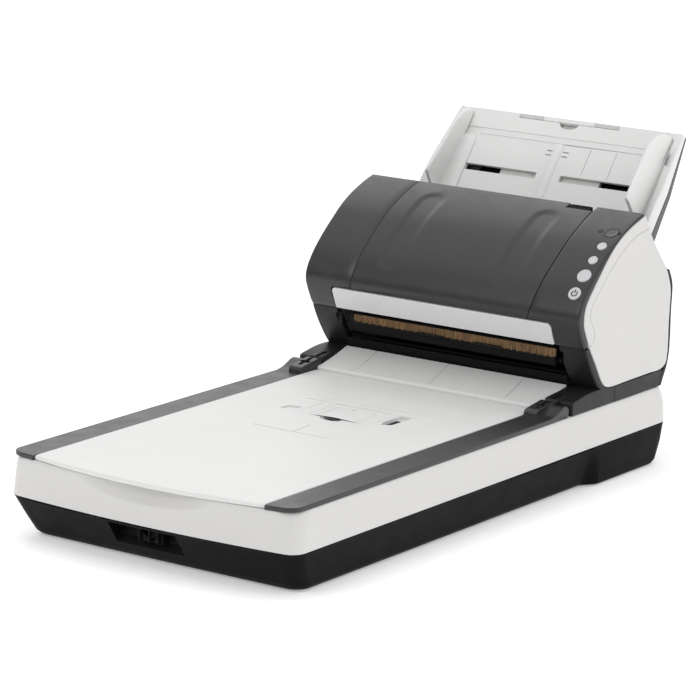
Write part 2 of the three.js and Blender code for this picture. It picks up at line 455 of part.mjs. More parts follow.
const WALL = [[-4.2, 104.6, 107.6, 6.6], [-6, 104.4, 107.4, 10], [-9, 104.2, 107, 14], [-14, 104, 106.2, 18.6], [-20, 104, 105.8, 22.2], [-28, 104.8, 105.6, 25.2], [-54, 108.4, 107, 28.5], [-85, 110.8, 109, 32.4], [-91, 111, 110, 18]];
[1, -1].forEach((k) => {
  const sgn = (a, b) => (k > 0 ? [a, b] : [-b, -a]);
  let m = cbox(...sgn(91.2, 112.8), -121, -27, 2.4, 4.6).add(cbox(...sgn(92.4, 112.0), -120, -28, 4.4, 5.2));
  // tall wall that holds the paper edge: [s, foot x, ridge x, ridge height]
  const wall = WALL.map(([s, xi, xr, N]) => [s, [[xi, 3.6], [112.8, 3.6], [xr + 1.6, N - 0.6], [xr, N], [xr - 0.8, N - 0.6]]]);
  m = m.add(loftS(wall.map((w) => w[0]), (s) => {
    const q = wall.find((w) => w[0] === s)[1];
    return k > 0 ? q : q.map(([x, n]) => [-x, n]).reverse();
  }));
  m = m.add(cbox(...sgn(94, 97.6), -107.6, -104.4, -8.2, 3));
  const r0 = k > 0 ? [-113.4, -110.4] : [-101.6, -98.6];
  const join = k > 0 ? [-113.4, -104.4] : [-107.6, -98.6];
  m = m.add(cbox(...sgn(94, 97.6), join[0], join[1], -8.2, -5.2)).add(cbox(...sgn(-12, 97.6), r0[0], r0[1], -8.2, -5.2));
  put(k > 0 ? 'guide_right' : 'guide_left', m, 'pale');
});
{
  const dir = new THREE.Vector3(0, -SN, CS);
  const q = C(-106, -8.4);
  put('guide_pinion', turnDir([[0, 0], [3.9, 0], [3.9, 3], [1.6, 3], [1.6, 5], [0, 5]], [0, q[0], q[1]], dir, 20), 'white');
}
put('extension_lower', cbox(-54.2, 54.2, -94, -0.4, -4.4, -1.8).add(cbox(-54.2, 54.2, -4.6, -0.4, -2, 3.2)).subtract(cbox(-28.4, 28.4, -5, 1, -6, 5)), 'pale');
put('extension_upper', cbox(-50, 50, -92, -5.4, -7.2, -4.8).add(cbox(-28, 28, -5.6, -0.2, -7.2, -4.8)).add(cbox(-28, 28, -4.6, -0.2, -5, 3.2)), 'pale');

export default group;
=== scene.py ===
import bpy, bmesh, math, random
from mathutils import Vector, Matrix
import numpy as np


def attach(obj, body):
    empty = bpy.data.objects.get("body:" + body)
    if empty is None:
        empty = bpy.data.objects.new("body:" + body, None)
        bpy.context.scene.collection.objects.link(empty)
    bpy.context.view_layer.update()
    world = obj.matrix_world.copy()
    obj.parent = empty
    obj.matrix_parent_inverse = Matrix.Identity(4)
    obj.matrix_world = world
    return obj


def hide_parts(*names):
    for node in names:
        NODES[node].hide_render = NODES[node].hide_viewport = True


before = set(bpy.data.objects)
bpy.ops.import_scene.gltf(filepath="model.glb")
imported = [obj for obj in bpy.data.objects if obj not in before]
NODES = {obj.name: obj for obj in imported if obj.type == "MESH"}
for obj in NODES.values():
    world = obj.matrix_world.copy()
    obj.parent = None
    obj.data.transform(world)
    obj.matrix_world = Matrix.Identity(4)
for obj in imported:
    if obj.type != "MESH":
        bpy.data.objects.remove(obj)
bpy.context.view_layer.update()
rnd = random.Random(11)
DY = -33.21
SC = bpy.context.scene


def V(p):
    return Vector((p[0] * 0.001, (p[1] + DY) * 0.001, p[2] * 0.001))


# ------------------------------------------------------------------ 2-D helpers
def cr(pts, step=2.0, closed=False):
    """Centripetal Catmull-Rom through pts, resampled at about step."""
    P = [np.array(p, float) for p in pts]
    n = len(P)
    out = []
    rng = range(n if closed else n - 1)
    for i in rng:
        p1, p2 = P[i], P[(i + 1) % n]
        p0 = P[i - 1] if (closed or i > 0) else 2 * p1 - p2
        p3 = P[(i + 2) % n] if (closed or i + 2 < n) else 2 * p2 - p1
        t = [0.0]
        for a, b in ((p0, p1), (p1, p2), (p2, p3)):
            t.append(t[-1] + max(1e-6, np.linalg.norm(b - a)) ** 0.5)
        k = max(1, int(round(np.linalg.norm(p2 - p1) / step)))
        for j in range(k):
            u = t[1] + (t[2] - t[1]) * j / k
            A1 = (t[1] - u) / (t[1] - t[0]) * p0 + (u - t[0]) / (t[1] - t[0]) * p1
            A2 = (t[2] - u) / (t[2] - t[1]) * p1 + (u - t[1]) / (t[2] - t[1]) * p2
            A3 = (t[3] - u) / (t[3] - t[2]) * p2 + (u - t[2]) / (t[3] - t[2]) * p3
            B1 = (t[2] - u) / (t[2] - t[0]) * A1 + (u - t[0]) / (t[2] - t[0]) * A2
            B2 = (t[3] - u) / (t[3] - t[1]) * A2 + (u - t[1]) / (t[3] - t[1]) * A3
            out.append(tuple((t[2] - u) / (t[2] - t[1]) * B1 + (u - t[1]) / (t[2] - t[1]) * B2))
    if not closed:
        out.append(tuple(P[-1]))
    return out


def fillet(pts, r, n=3, closed=True):
    P = [np.array(p, float) for p in pts]
    m = len(P)
    out = []
    for i, p in enumerate(P):
        rr = r[i] if isinstance(r, (list, tuple)) else r
        if rr <= 0 or (not closed and i in (0, m - 1)):
            out.append(tuple(p)); continue
        va, vb = P[i - 1] - p, P[(i + 1) % m] - p
        la, lb = np.linalg.norm(va), np.linalg.norm(vb)
        ua, ub = va / la, vb / lb
        ang = math.acos(max(-1, min(1, float(ua @ ub))))
        if ang > math.radians(172):
            out.append(tuple(p)); continue
        t = min(rr / math.tan(ang / 2), 0.46 * la, 0.46 * lb)
        rad = t * math.tan(ang / 2)
        bis = (ua + ub) / np.linalg.norm(ua + ub)
        c = p + bis * (t / math.cos(ang / 2))
        a, b = p + ua * t - c, p + ub * t - c
        w = math.acos(max(-1, min(1, float(a @ b) / (rad * rad))))
        for k in range(n + 1):
            f = k / n
            if w < 1e-4:
                out.append(tuple(c + a)); break
            out.append(tuple(c + (math.sin((1 - f) * w) * a + math.sin(f * w) * b) / math.sin(w)))
    return out


def offs(line, d):
    out = []
    for i, p in enumerate(line):
        a, b = line[max(0, i - 1)], line[min(len(line) - 1, i + 1)]
        t = (b[0] - a[0], b[1] - a[1]); l = math.hypot(*t) or 1
        out.append((p[0] - t[1] / l * d, p[1] + t[0] / l * d))
    return out


def sstep(a, b, x):
    t = max(0.0, min(1.0, (x - a) / (b - a)))
    return t * t * (3 - 2 * t)


# ------------------------------------------------------------------ mesh helpers
def raw(name, verts, faces, world=False):
    me = bpy.data.meshes.new(name)
    me.from_pydata([tuple(v) if world else tuple(V(v)) for v in verts], [], faces)
    bm = bmesh.new(); bm.from_mesh(me)
    bmesh.ops.remove_doubles(bm, verts=bm.verts, dist=2e-7)
    bmesh.ops.recalc_face_normals(bm, faces=bm.faces)
    bm.to_mesh(me); bm.free()
    ob = bpy.data.objects.new(name, me)
    SC.collection.objects.link(ob)
    return ob


def loft(name, rings, caps=True, closed=True):
    n = len(rings[0])
    verts = [p for r in rings for p in r]
    faces = []
    for k in range(len(rings) - 1):
        for i in range(n if closed else n - 1):
            j = (i + 1) % n
            faces.append((k * n + i, k * n + j, (k + 1) * n + j, (k + 1) * n + i))
    if caps:
        faces.append(tuple(range(n)))
        faces.append(tuple((len(rings) - 1) * n + i for i in range(n)))
    return raw(name, verts, faces)


def prism(name, prof, x0, x1):
    return loft(name, [[(x, p[0], p[1]) for p in prof] for x in (x0, x1)])


def prismZ(name, prof, z0, z1):
    return loft(name, [[(p[0], p[1], z) for p in prof] for z in (z0, z1)])


def rect(x0, x1, y0, y1, r=0, n=5):
    p = [(x0, y0), (x1, y0), (x1, y1), (x0, y1)]
    return fillet(p, r, n) if r else p


def box(name, x0, x1, y0, y1, z0, z1, r=0):
    return prismZ(name, rect(x0, x1, y0, y1, r), z0, z1)


def lathe(name, prof, org, d, seg=48, world_dir=None):
    d = Vector(d).normalized()
    u = d.orthogonal().normalized(); w = d.cross(u)
    verts, idx, faces = [], [], []
    for r, a in prof:
        if r < 1e-6:
            idx.append([len(verts)]); verts.append(tuple(Vector(org) + d * a))
        else:
            idx.append(list(range(len(verts), len(verts) + seg)))
            for k in range(seg):
                t = 2 * math.pi * k / seg
                verts.append(tuple(Vector(org) + d * a + u * (r * math.cos(t)) + w * (r * math.sin(t))))
    for A, B in zip(idx, idx[1:]):
        if len(A) == 1 and len(B) == 1:
            continue
        for k in range(seg):
            j = (k + 1) % seg
            if len(A) == 1:
                faces.append((A[0], B[j], B[k]))
            elif len(B) == 1:
                faces.append((A[k], A[j], B[0]))
            else:
                faces.append((A[k], A[j], B[j], B[k]))
    return raw(name, verts, faces)


def bake(ob):
    dg = bpy.context.evaluated_depsgraph_get()
    me = bpy.data.meshes.new_from_object(ob.evaluated_get(dg), depsgraph=dg)
    old = ob.data
    ob.modifiers.clear()
    ob.data = me
    bpy.data.meshes.remove(old)


def boolean(ob, others, op="DIFFERENCE"):
    for i, c in enumerate(others):
        m = ob.modifiers.new("b%d" % i, "BOOLEAN")
        m.operation = op; m.solver = "EXACT"; m.object = c
    bake(ob)
    for c in others:
        me = c.data
        bpy.data.objects.remove(c)
        bpy.data.meshes.remove(me)
    bm = bmesh.new(); bm.from_mesh(ob.data)
    bmesh.ops.remove_doubles(bm, verts=bm.verts, dist=5e-6)
    bmesh.ops.dissolve_degenerate(bm, edges=bm.edges, dist=5e-6)
    bm.to_mesh(ob.data); bm.free()
    return ob


def join(name, obs):
    bm = bmesh.new()
    for o in obs:
        bm.from_mesh(o.data)
    me = bpy.data.meshes.new(name); bm.to_mesh(me); bm.free()
    for o in obs:
        m = o.data; bpy.data.objects.remove(o); bpy.data.meshes.remove(m)
    ob = bpy.data.objects.new(name, me); SC.collection.objects.link(ob)
    return ob


def mirror(ob, name):
    me = ob.data.copy(); me.name = name
    for v in me.vertices:
        v.co.x = -v.co.x
    me.flip_normals()
    o = bpy.data.objects.new(name, me); SC.collection.objects.link(o)
    return o


def done(ob, body, mat, replaces=(), bevel=0.35, seg=2, ang=32, wfn=None, wmax=2.0, clamp=False):
    """Rounds the piece's sharp edges, smooths it, gives it its finish and hangs it on its body."""
    me = ob.data
    for p in me.polygons:
        p.use_smooth = True
    if bevel:
        bm = bmesh.new(); bm.from_mesh(me)
        lay = bm.edges.layers.float.get("bevel_weight_edge") or bm.edges.layers.float.new("bevel_weight_edge")
        lim = math.radians(ang)
        for e in bm.edges:
            w = 0.0
            if len(e.link_faces) == 2 and e.calc_face_angle(0) > lim:
                w = bevel / wmax
                if wfn:
                    c = (e.verts[0].co + e.verts[1].co) / 2
                    q = wfn((c.x * 1000, c.y * 1000 - DY, c.z * 1000), e)
                    if q is not None:
                        w = q / wmax
            e[lay] = w
        bm.to_mesh(me); bm.free()
        m = ob.modifiers.new("bevel", "BEVEL")
        m.limit_method = "WEIGHT"; m.width = wmax * 0.001; m.segments = seg
        m.use_clamp_overlap = clamp; m.harden_normals = True
        m.miter_outer = "MITER_ARC" if False else "MITER_SHARP"
    else:
        me.set_sharp_from_angle(angle=math.radians(ang))
    me.materials.clear(); me.materials.append(mat)
    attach(ob, body)
    if replaces:
        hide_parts(*replaces)
    return ob


# ------------------------------------------------------------------ materials
def lin(c):
    c = c / 255.0
    return c / 12.92 if c <= 0.04045 else ((c + 0.055) / 1.055) ** 2.4


def rgb(*c):
    return (lin(c[0]), lin(c[1]), lin(c[2]), 1)


def plastic(name, col, rough=0.45, var=0.035, grain=1500, bump=0.25, rvar=0.07, wear=0.0, spec=0.5, warm=0.0, mottled=0.0, metal=0.0, scale=14, stretch=None):
    m = bpy.data.materials.new(name); m.use_nodes = True
    nt = m.node_tree; N = nt.nodes; L = nt.links
    b = N["Principled BSDF"]
    b.inputs["Specular IOR Level"].default_value = spec
    b.inputs["Metallic"].default_value = metal
    tc = N.new("ShaderNodeTexCoord")
    vec = tc.outputs["Object"]
    if stretch:
        mp = N.new("ShaderNodeMapping"); mp.inputs["Scale"].default_value = stretch
        L.new(vec, mp.inputs["Vector"]); vec = mp.outputs["Vector"]
    # slow tone drift, as large mouldings show
    n1 = N.new("ShaderNodeTexNoise"); n1.inputs["Scale"].default_value = scale; n1.inputs["Detail"].default_value = 4
    L.new(vec, n1.inputs["Vector"])
    r1 = N.new("ShaderNodeValToRGB")
    a, c = r1.color_ramp.elements
    a.position, c.position = 0.3, 0.7
    a.color = tuple(x * (1 - var) for x in col[:3]) + (1,)
    c.color = (min(1, col[0] * (1 + var + warm)), min(1, col[1] * (1 + var)), min(1, col[2] * (1 + var - warm)), 1)
    L.new(n1.outputs["Fac"], r1.inputs["Fac"])
    # moulded texture grain
    n2 = N.new("ShaderNodeTexNoise"); n2.inputs["Scale"].default_value = grain; n2.inputs["Detail"].default_value = 3; n2.inputs["Roughness"].default_value = 0.6
    L.new(vec, n2.inputs["Vector"])
    mx = N.new("ShaderNodeMix"); mx.data_type = "RGBA"; mx.blend_type = "MULTIPLY"
    mx.inputs["Factor"].default_value = 1.0
    r2 = N.new("ShaderNodeValToRGB")
    r2.color_ramp.elements[0].position, r2.color_ramp.elements[1].position = 0.3, 0.7
    g = 1 - 0.05 - mottled
    r2.color_ramp.elements[0].color = (g, g, g, 1); r2.color_ramp.elements[1].color = (1, 1, 1, 1)
    L.new(n2.outputs["Fac"], r2.inputs["Fac"])
    L.new(r1.outputs["Color"], mx.inputs[6]); L.new(r2.outputs["Color"], mx.inputs[7])
    out = mx.outputs[2]
    if wear > 0:
        ge = N.new("ShaderNodeNewGeometry")
        rp = N.new("ShaderNodeValToRGB")
        rp.color_ramp.elements[0].position, rp.color_ramp.elements[1].position = 0.53, 0.64
        n3 = N.new("ShaderNodeTexNoise"); n3.inputs["Scale"].default_value = 90; n3.inputs["Detail"].default_value = 5
        L.new(vec, n3.inputs["Vector"])
        mu = N.new("ShaderNodeMath"); mu.operation = "MULTIPLY"
        L.new(ge.outputs["Pointiness"], rp.inputs["Fac"])
        L.new(rp.outputs["Color"], mu.inputs[0]); L.new(n3.outputs["Fac"], mu.inputs[1])
        m2 = N.new("ShaderNodeMix"); m2.data_type = "RGBA"; m2.blend_type = "MIX"
        w = [min(1, x * (1 + wear) + 0.02 * wear) for x in col[:3]]
        m2.inputs[7].default_value = (*w, 1)
        L.new(mu.outputs[0], m2.inputs["Factor"]); L.new(out, m2.inputs[6])
        out = m2.outputs[2]
    L.new(out, b.inputs["Base Color"])
    mr = N.new("ShaderNodeMapRange")
    mr.inputs["From Min"].default_value = 0.25; mr.inputs["From Max"].default_value = 0.75
    mr.inputs["To Min"].default_value = rough - rvar; mr.inputs["To Max"].default_value = rough + rvar
    n4 = N.new("ShaderNodeTexNoise"); n4.inputs["Scale"].default_value = 55; n4.inputs["Detail"].default_value = 6
    L.new(vec, n4.inputs["Vector"]); L.new(n4.outputs["Fac"], mr.inputs["Value"])
    L.new(mr.outputs["Result"], b.inputs["Roughness"])
    if bump:
        bp = N.new("ShaderNodeBump"); bp.inputs["Strength"].default_value = bump; bp.inputs["Distance"].default_value = 0.0001
        L.new(n2.outputs["Fac"], bp.inputs["Height"]); L.new(bp.outputs["Normal"], b.inputs["Normal"])
    return m


M = {
    "lid": plastic("pale_lid", rgb(227, 227, 226), 0.46, 0.012, 1400, 0.22, warm=0.004, spec=0.22),
    "white": plastic("pale_shell", rgb(212, 211, 210), 0.40, 0.012, 1300, 0.22, warm=0.004),
    "chute": plastic("pale_chute", rgb(234, 234, 233), 0.45, 0.014, 1400, 0.22),
    # darker copy of the pale chute plastic for the lower extension: painted shade for where it sits in shadow under the
    # chute
    "ext": plastic("pale_extension_painted_shade", rgb(205, 204, 202), 0.45, 0.014, 1400, 0.22),
    "strip": plastic("pale_strip", rgb(228, 228, 229), 0.40, 0.014, 1400, 0.18),
    "dark": plastic("dark_satin", rgb(38, 38, 40), 0.34, 0.06, 1700, 0.3, wear=0.3, spec=0.55),
    "darkside": plastic("dark_side", rgb(34, 34, 36), 0.42, 0.07, 1500, 0.3, wear=0.25, spec=0.28),
    "black": plastic("black_plastic", rgb(18, 18, 19), 0.44, 0.1, 1300, 0.35, wear=0.25, spec=0.05),
    "inner": plastic("black_inner", rgb(12, 12, 12), 0.55, 0.14, 1300, 0.3, spec=0.14),
    "grey": plastic("grey_plastic", rgb(150, 151, 153), 0.45, 0.04, 1500, 0.3),
    "button": plastic("button_plastic", rgb(206, 207, 209), 0.32, 0.02, 1800, 0.12, rvar=0.04),
    "mark": plastic("mark_ink", rgb(34, 34, 36), 0.5, 0.08, 1500, 0.1, spec=0.2),
    "lens": plastic("lens_dark", rgb(58, 58, 61), 0.2, 0.04, 900, 0.03, rvar=0.03),
    "shell": plastic("chute_back", rgb(84, 84, 89), 0.42, 0.045, 1500, 0.32, wear=0.25),
    "rubber": plastic("rubber_ribbed", rgb(44, 44, 46), 0.78, 0.12, 700, 0.5),
    "steel": plastic("brushed_steel", rgb(188, 190, 192), 0.3, 0.05, 160, 0.25, metal=1.0, stretch=(1, 14, 14)),
    "white_foam": plastic("white_foam", rgb(240, 240, 238), 0.8, 0.03, 420, 0.8),
    "lamp": plastic("lamp_off", rgb(16, 16, 17), 0.3, 0.1, 900, 0.1, rvar=0.05),
    "pcb": plastic("circuit_board", rgb(38, 84, 54), 0.5, 0.2, 240, 0.4, mottled=0.25),
    "engine": plastic("engine_white", rgb(226, 226, 222), 0.5, 0.03, 900, 0.2),
    "brushm": plastic("brush_fibre", rgb(168, 136, 98), 0.6, 0.5, 650, 0.3, mottled=0.3, scale=900, warm=0.04, stretch=(1, 0.15, 0.05)),
}


def glassy(name):
    m = bpy.data.materials.new(name); m.use_nodes = True
    nt = m.node_tree; N = nt.nodes; L = nt.links; b = N["Principled BSDF"]
    tc = N.new("ShaderNodeTexCoord")
    n = N.new("ShaderNodeTexNoise"); n.inputs["Scale"].default_value = 20
    L.new(tc.outputs["Object"], n.inputs["Vector"])
    r = N.new("ShaderNodeValToRGB")
    r.color_ramp.elements[0].color = (0.60, 0.72, 0.69, 1); r.color_ramp.elements[1].color = (0.66, 0.77, 0.74, 1)
    L.new(n.outputs["Fac"], r.inputs["Fac"]); L.new(r.outputs["Color"], b.inputs["Base Color"])
    mr = N.new("ShaderNodeMapRange"); mr.inputs["To Min"].default_value = 0.03; mr.inputs["To Max"].default_value = 0.08
    L.new(n.outputs["Fac"], mr.inputs["Value"]); L.new(mr.outputs["Result"], b.inputs["Roughness"])
    b.inputs["Transmission Weight"].default_value = 0.85
    b.inputs["IOR"].default_value = 1.5
    return m


M["glass"] = glassy("platen_glass_m")

# ------------------------------------------------------------------ camera, light, floor
def setup_stage():
    yaw, pitch, roll = math.radians(36.00865698115054), math.radians(13.264406225156597), math.radians(0.7297324814243731)
    f = Vector((-math.sin(yaw) * math.cos(pitch), math.cos(yaw) * math.cos(pitch), -math.sin(pitch)))
    r = Vector((math.cos(yaw), math.sin(yaw), 0))
    u = r.cross(f)
    R = r * math.cos(roll) + u * math.sin(roll)
    U = u * math.cos(roll) - r * math.sin(roll)
    cam = bpy.data.cameras.new("cam"); co = bpy.data.objects.new("cam", cam)
    SC.collection.objects.link(co)
    mw = Matrix.Identity(4)
    for i in range(3):
        mw[i][0], mw[i][1], mw[i][2] = R[i], U[i], -f[i]
    p = V((1842.9766693309305, -2535.5699086255486, 870.5209083485631))
    for i in range(3):
        mw[i][3] = p[i]
    co.matrix_world = mw
    cam.sensor_width = 36; cam.lens = 3741.6939706980406 / 700 * 36
    cam.clip_start = 0.05; cam.clip_end = 60
    SC.camera = co
    w = bpy.data.worlds.new("w"); SC.world = w; w.use_nodes = True
    w.node_tree.nodes["Background"].inputs[0].default_value = (1, 1, 1, 1)
    wn, wl = w.node_tree.nodes, w.node_tree.links
    wt = wn.new("ShaderNodeTexCoord"); ws = wn.new("ShaderNodeSeparateXYZ"); wm = wn.new("ShaderNodeMapRange")
    wl.new(wt.outputs["Generated"], ws.inputs[0]); wl.new(ws.outputs["Y"], wm.inputs["Value"])
    wm.inputs["From Min"].default_value = -0.75; wm.inputs["From Max"].default_value = 0.55
    wm.inputs["To Min"].default_value = 0.34; wm.inputs["To Max"].default_value = 1.12
    wl.new(wm.outputs["Result"], wn["Background"].inputs[1])
    SC.view_settings.view_transform = "Standard"

    def area(name, loc, aim, size, power):
        l = bpy.data.lights.new(name, "AREA"); l.shape = "RECTANGLE"; l.size, l.size_y = size; l.energy = power
        o = bpy.data.objects.new(name, l); SC.collection.objects.link(o)
        o.location = loc
        o.rotation_euler = (Vector(aim) - Vector(loc)).to_track_quat("-Z", "Y").to_euler()
    area("key", (-0.5, -0.35, 2.4), (0, 0, 0.1), (2.2, 2.2), 7)
    area("right", (2.6, -0.2, 1.5), (0, 0, 0.12), (1.8, 1.8), 11)
    area("front", (-0.6, -2.6, 2.2), (0, 0, 0.1), (2.4, 1.8), 27)
    area("sheen", (-1.75, 1.4, 2.1), (0, 0.15, 0.15), (1.5, 1.5), 5)
    fl = raw("floor", [(-9, -9, 0), (9, -9, 0), (9, 9, 0), (-9, 9, 0)], [(0, 1, 2, 3)], world=True)
    fm = plastic("floor_m", rgb(250, 250, 250), 0.9, 0.003, 60, 0, spec=0.05)
    fm.node_tree.nodes["Principled BSDF"].inputs["Emission Color"].default_value = (1, 1, 1, 1)
    fm.node_tree.nodes["Principled BSDF"].inputs["Emission Strength"].default_value = 0.3
    fl.data.materials.append(fm)


setup_stage()

# ------------------------------------------------------------------ base
def plan(z, hw, front, bow, rear, inset=0, rf=17, rr=18, flare=0):
    w, f, r = hw - inset, front + inset, rear - inset
    R1, R2 = max(3, rf - inset), max(3, rr - inset)
    side = lambda y: w - flare * (1 - sstep(152, 170, y))
    wf = side(-200)
    fy = lambda x: f + bow * (x / 135) ** 2
    pts = []
    NF, NC = 150, 10
    for i in range(NF + 1):
        x = -(wf - R1) + 2 * (wf - R1) * i / NF
        pts.append((x, fy(x), z))
    yc = fy(wf - R1) + R1
    for i in range(1, NC + 1):
        a = -math.pi / 2 + math.pi / 2 * i / NC
        pts.append((wf - R1 + R1 * math.cos(a), yc + R1 * math.sin(a), z))
    ys = [-120, 0, 100, 146] + [150 + 1.6 * k for k in range(0, 14)] + [200]
    for y in ys:
        pts.append((side(y), y, z))
    for i in range(NC + 1):
        a = math.pi / 2 * i / NC
        pts.append((w - R2 + R2 * math.cos(a), r - R2 + R2 * math.sin(a), z))
    for i in range(NC + 1):
        a = math.pi / 2 + math.pi / 2 * i / NC
        pts.append((-(w - R2) + R2 * math.cos(a), r - R2 + R2 * math.sin(a), z))
    for y in reversed(ys):
        pts.append((-side(y), y, z))
    for i in range(NC):
        a = math.pi + math.pi / 2 * i / NC
        pts.append((-(wf - R1) + R1 * math.cos(a), yc + R1 * math.sin(a), z))
    return pts


def scoop(x, z):
    rho = ((x - 4) / 70.0) ** 2 + ((z - 71.6) / 16.2) ** 2
    return 9.5 * (1 - rho) ** 1.35 if rho < 1 else 0.0


def planrings(keys, zs, inset=0):
    K = np.array(keys, float)
    rings = []
    for z in zs:
        v = [np.interp(z, K[:, 0], K[:, c]) for c in range(1, K.shape[1])]
        v += [17, 18, 0][len(v) - 4:] if len(v) < 7 else []
        rings.append(plan(z, v[0], v[1], v[2], v[3], inset, v[4], v[5], v[6]))
    return rings


TRAY = [(1.5, 148.5, -255.5, 1, 270.5, 14, 16, 9.8), (4.5, 149.6, -259.8, 1.6, 275.5, 15, 17, 8.0),
        (20, 150, -270.8, 4, 283.5, 14, 18, 4.4), (36.8, 150, -282.1, 6.7, 288.5, 13, 18, 0)]
COV = [(37.1, 150, -282.3, 6.7, 288.5, 13, 18, 0), (52, 150, -284, 8.3, 288, 17, 18, 0), (62, 149.7, -285.6, 9.6, 285.2, 21, 18, 0),
       (67.5, 149.2, -286.2, 10.6, 282, 23, 18, 0), (69.4, 148.6, -286.1, 10.9, 280.9, 23.5, 18, 0), (70.5, 147.9, -285.7, 11.1, 280.0, 24, 18, 0), (70.9, 147.1, -285.2, 11.2, 279.3, 24, 18, 0)]


def build_base():
    out = loft("base_tray_v", planrings(TRAY, [1.5, 2.4, 4.5, 8, 12, 16, 20, 24, 28, 32, 35, 36.4, 36.8]))
    K2 = [(4.5, 149.6, -257.8, 1.6, 274.5, 15, 17, 8.2), (20, 150, -268.8, 4, 282.5, 16, 18, 4.6), (40, 150, -280.9, 6.7, 288.5, 17, 18, 0)]
    inn = loft("t_in", planrings(K2, [4.5, 12, 20, 30, 40], 3))
    wall = prism("t_w", [(-262.6, 10.5), (-255, 10.5), (-255, 34.9), (-268.5, 34.9), (-268.5, 20), (-265.0, 14)], -42, 36)
    boolean(out, [inn])
    boolean(out, [wall], "UNION")
    # pocket around the transport lock: rounded mouth, floor sloping up to the back
    pocket = loft("t_p", [[(x0, -300, 12.6), (x0, -267.4, 12.6), (x0, -262.6, 20.6), (x0, -262, 33.6), (x0, -300, 33.6)] for x0 in (-38.5, 31.5)])
    rails = [box("t_r%d" % k, x0, x1, y0, y1, -2, 3.6, r=3) for k, (x0, x1, y0, y1) in enumerate([(-90, -60, -200, -120), (60, 90, -200, -120), (-90, -60, 60, 180), (60, 90, 60, 180)])]
    boolean(out, [pocket] + [])
    for r_ in rails:
        bpy.data.objects.remove(r_)
    done(out, "base", M["black"], ["base_tray"], 0.5, 2, 28)

    crs = planrings(COV, [37.1, 37.5, 44, 52, 54, 55, 56, 57, 58, 59, 60, 61, 62, 63, 64, 65, 66, 67.5, 68.6, 69.4, 70.0, 70.5, 70.8, 70.9])
    crs = [[(x, y + scoop(x, z) if y < -255 else y, z) for x, y, z in r] for r in crs]
    up = loft("base_cover_v", crs)
    K3 = [(30, 150, -282.3, 6.7, 288.5, 13, 18, 0), (64, 149.4, -285.8, 9.8, 284, 21, 18, 0), (67.9, 149.2, -285.8, 10, 280, 23, 18, 0)]
    rings = planrings(K3, [30, 45, 64, 67.9], 3.2)
    rings = [[(x, max(y, -262.0) if abs(x) < 90 else y, z) for x, y, z in r] for r in rings]
    inn = loft("c_in", rings)
    ap = prismZ("c_ap", rect(-112, 112, -243, 98, 4), 60, 80)
    boolean(up, [inn, ap])
    wfn = lambda c, e: 0.25 if c[2] < 37.3 else (0 if c[1] < -250 and c[2] > 50 else None)
    done(up, "base", M["white"], ["base_upper_cover"], 0.4, 3, 30, wfn=wfn)
    # transport lock: ribbed slider
    s = prismZ("lock_a", rect(-14, 12, -270.6, -262.6, 1.2, 3), 21, 32.4)
    ribs = [prismZ("lock_r%d" % i, rect(x - 0.9, x + 0.9, -273.3, -268, 0.6, 3), 21.2, 32.2) for i, x in enumerate([-10.5, -0.5, 8.5])]
    boolean(s, ribs, "UNION")
    s.name = "transport_lock_v"
    done(s, "lock", M["inner"], ["transport_lock"], 0.3, 2)
    for n_, x, y in (("front_left", -118, -236), ("front_right", 118, -236), ("rear_left", -124, 240), ("rear_right", 124, 240)):
        o = lathe("foot_v_" + n_, fillet([(0, 0.02), (8.6, 0.02), (9, 0.5), (9, 1.2), (0, 1.2)], 0.2, 2, False), (x, y, 0), (0, 0, 1), 40)
        done(o, "base", M["rubber"], ["foot_" + n_], 0)


def uv_ellipsoid(c, r, nu=48, nv=24):
    verts, faces = [], []
    for j in range(1, nv):
        t = math.pi * j / nv
        for i in range(nu):
            a = 2 * math.pi * i / nu
            verts.append((c[0] + r[0] * math.sin(t) * math.cos(a), c[1] + r[1] * math.sin(t) * math.sin(a), c[2] + r[2] * math.cos(t)))
    top, bot = len(verts), len(verts) + 1
    verts += [(c[0], c[1], c[2] + r[2]), (c[0], c[1], c[2] - r[2])]
    for j in range(nv - 2):
        for i in range(nu):
            k = (i + 1) % nu
            faces.append((j * nu + i, j * nu + k, (j + 1) * nu + k, (j + 1) * nu + i))
    for i in range(nu):
        k = (i + 1) % nu
        faces.append((top, k, i)); faces.append((bot, (nv - 2) * nu + i, (nv - 2) * nu + k))
    return verts, faces


build_base()

# ------------------------------------------------------------------ document cover
def lid_front(x, i=0):
    return -287 + i + 11.5 * (x / 118) ** 2


def groove(name, pts, w, z0, z1):
    """A thin cutter along a line of (x, y) points."""
    l, r_ = offs(pts, w / 2), offs(pts, -w / 2)
    return prismZ(name, l + r_[::-1], z0, z1)


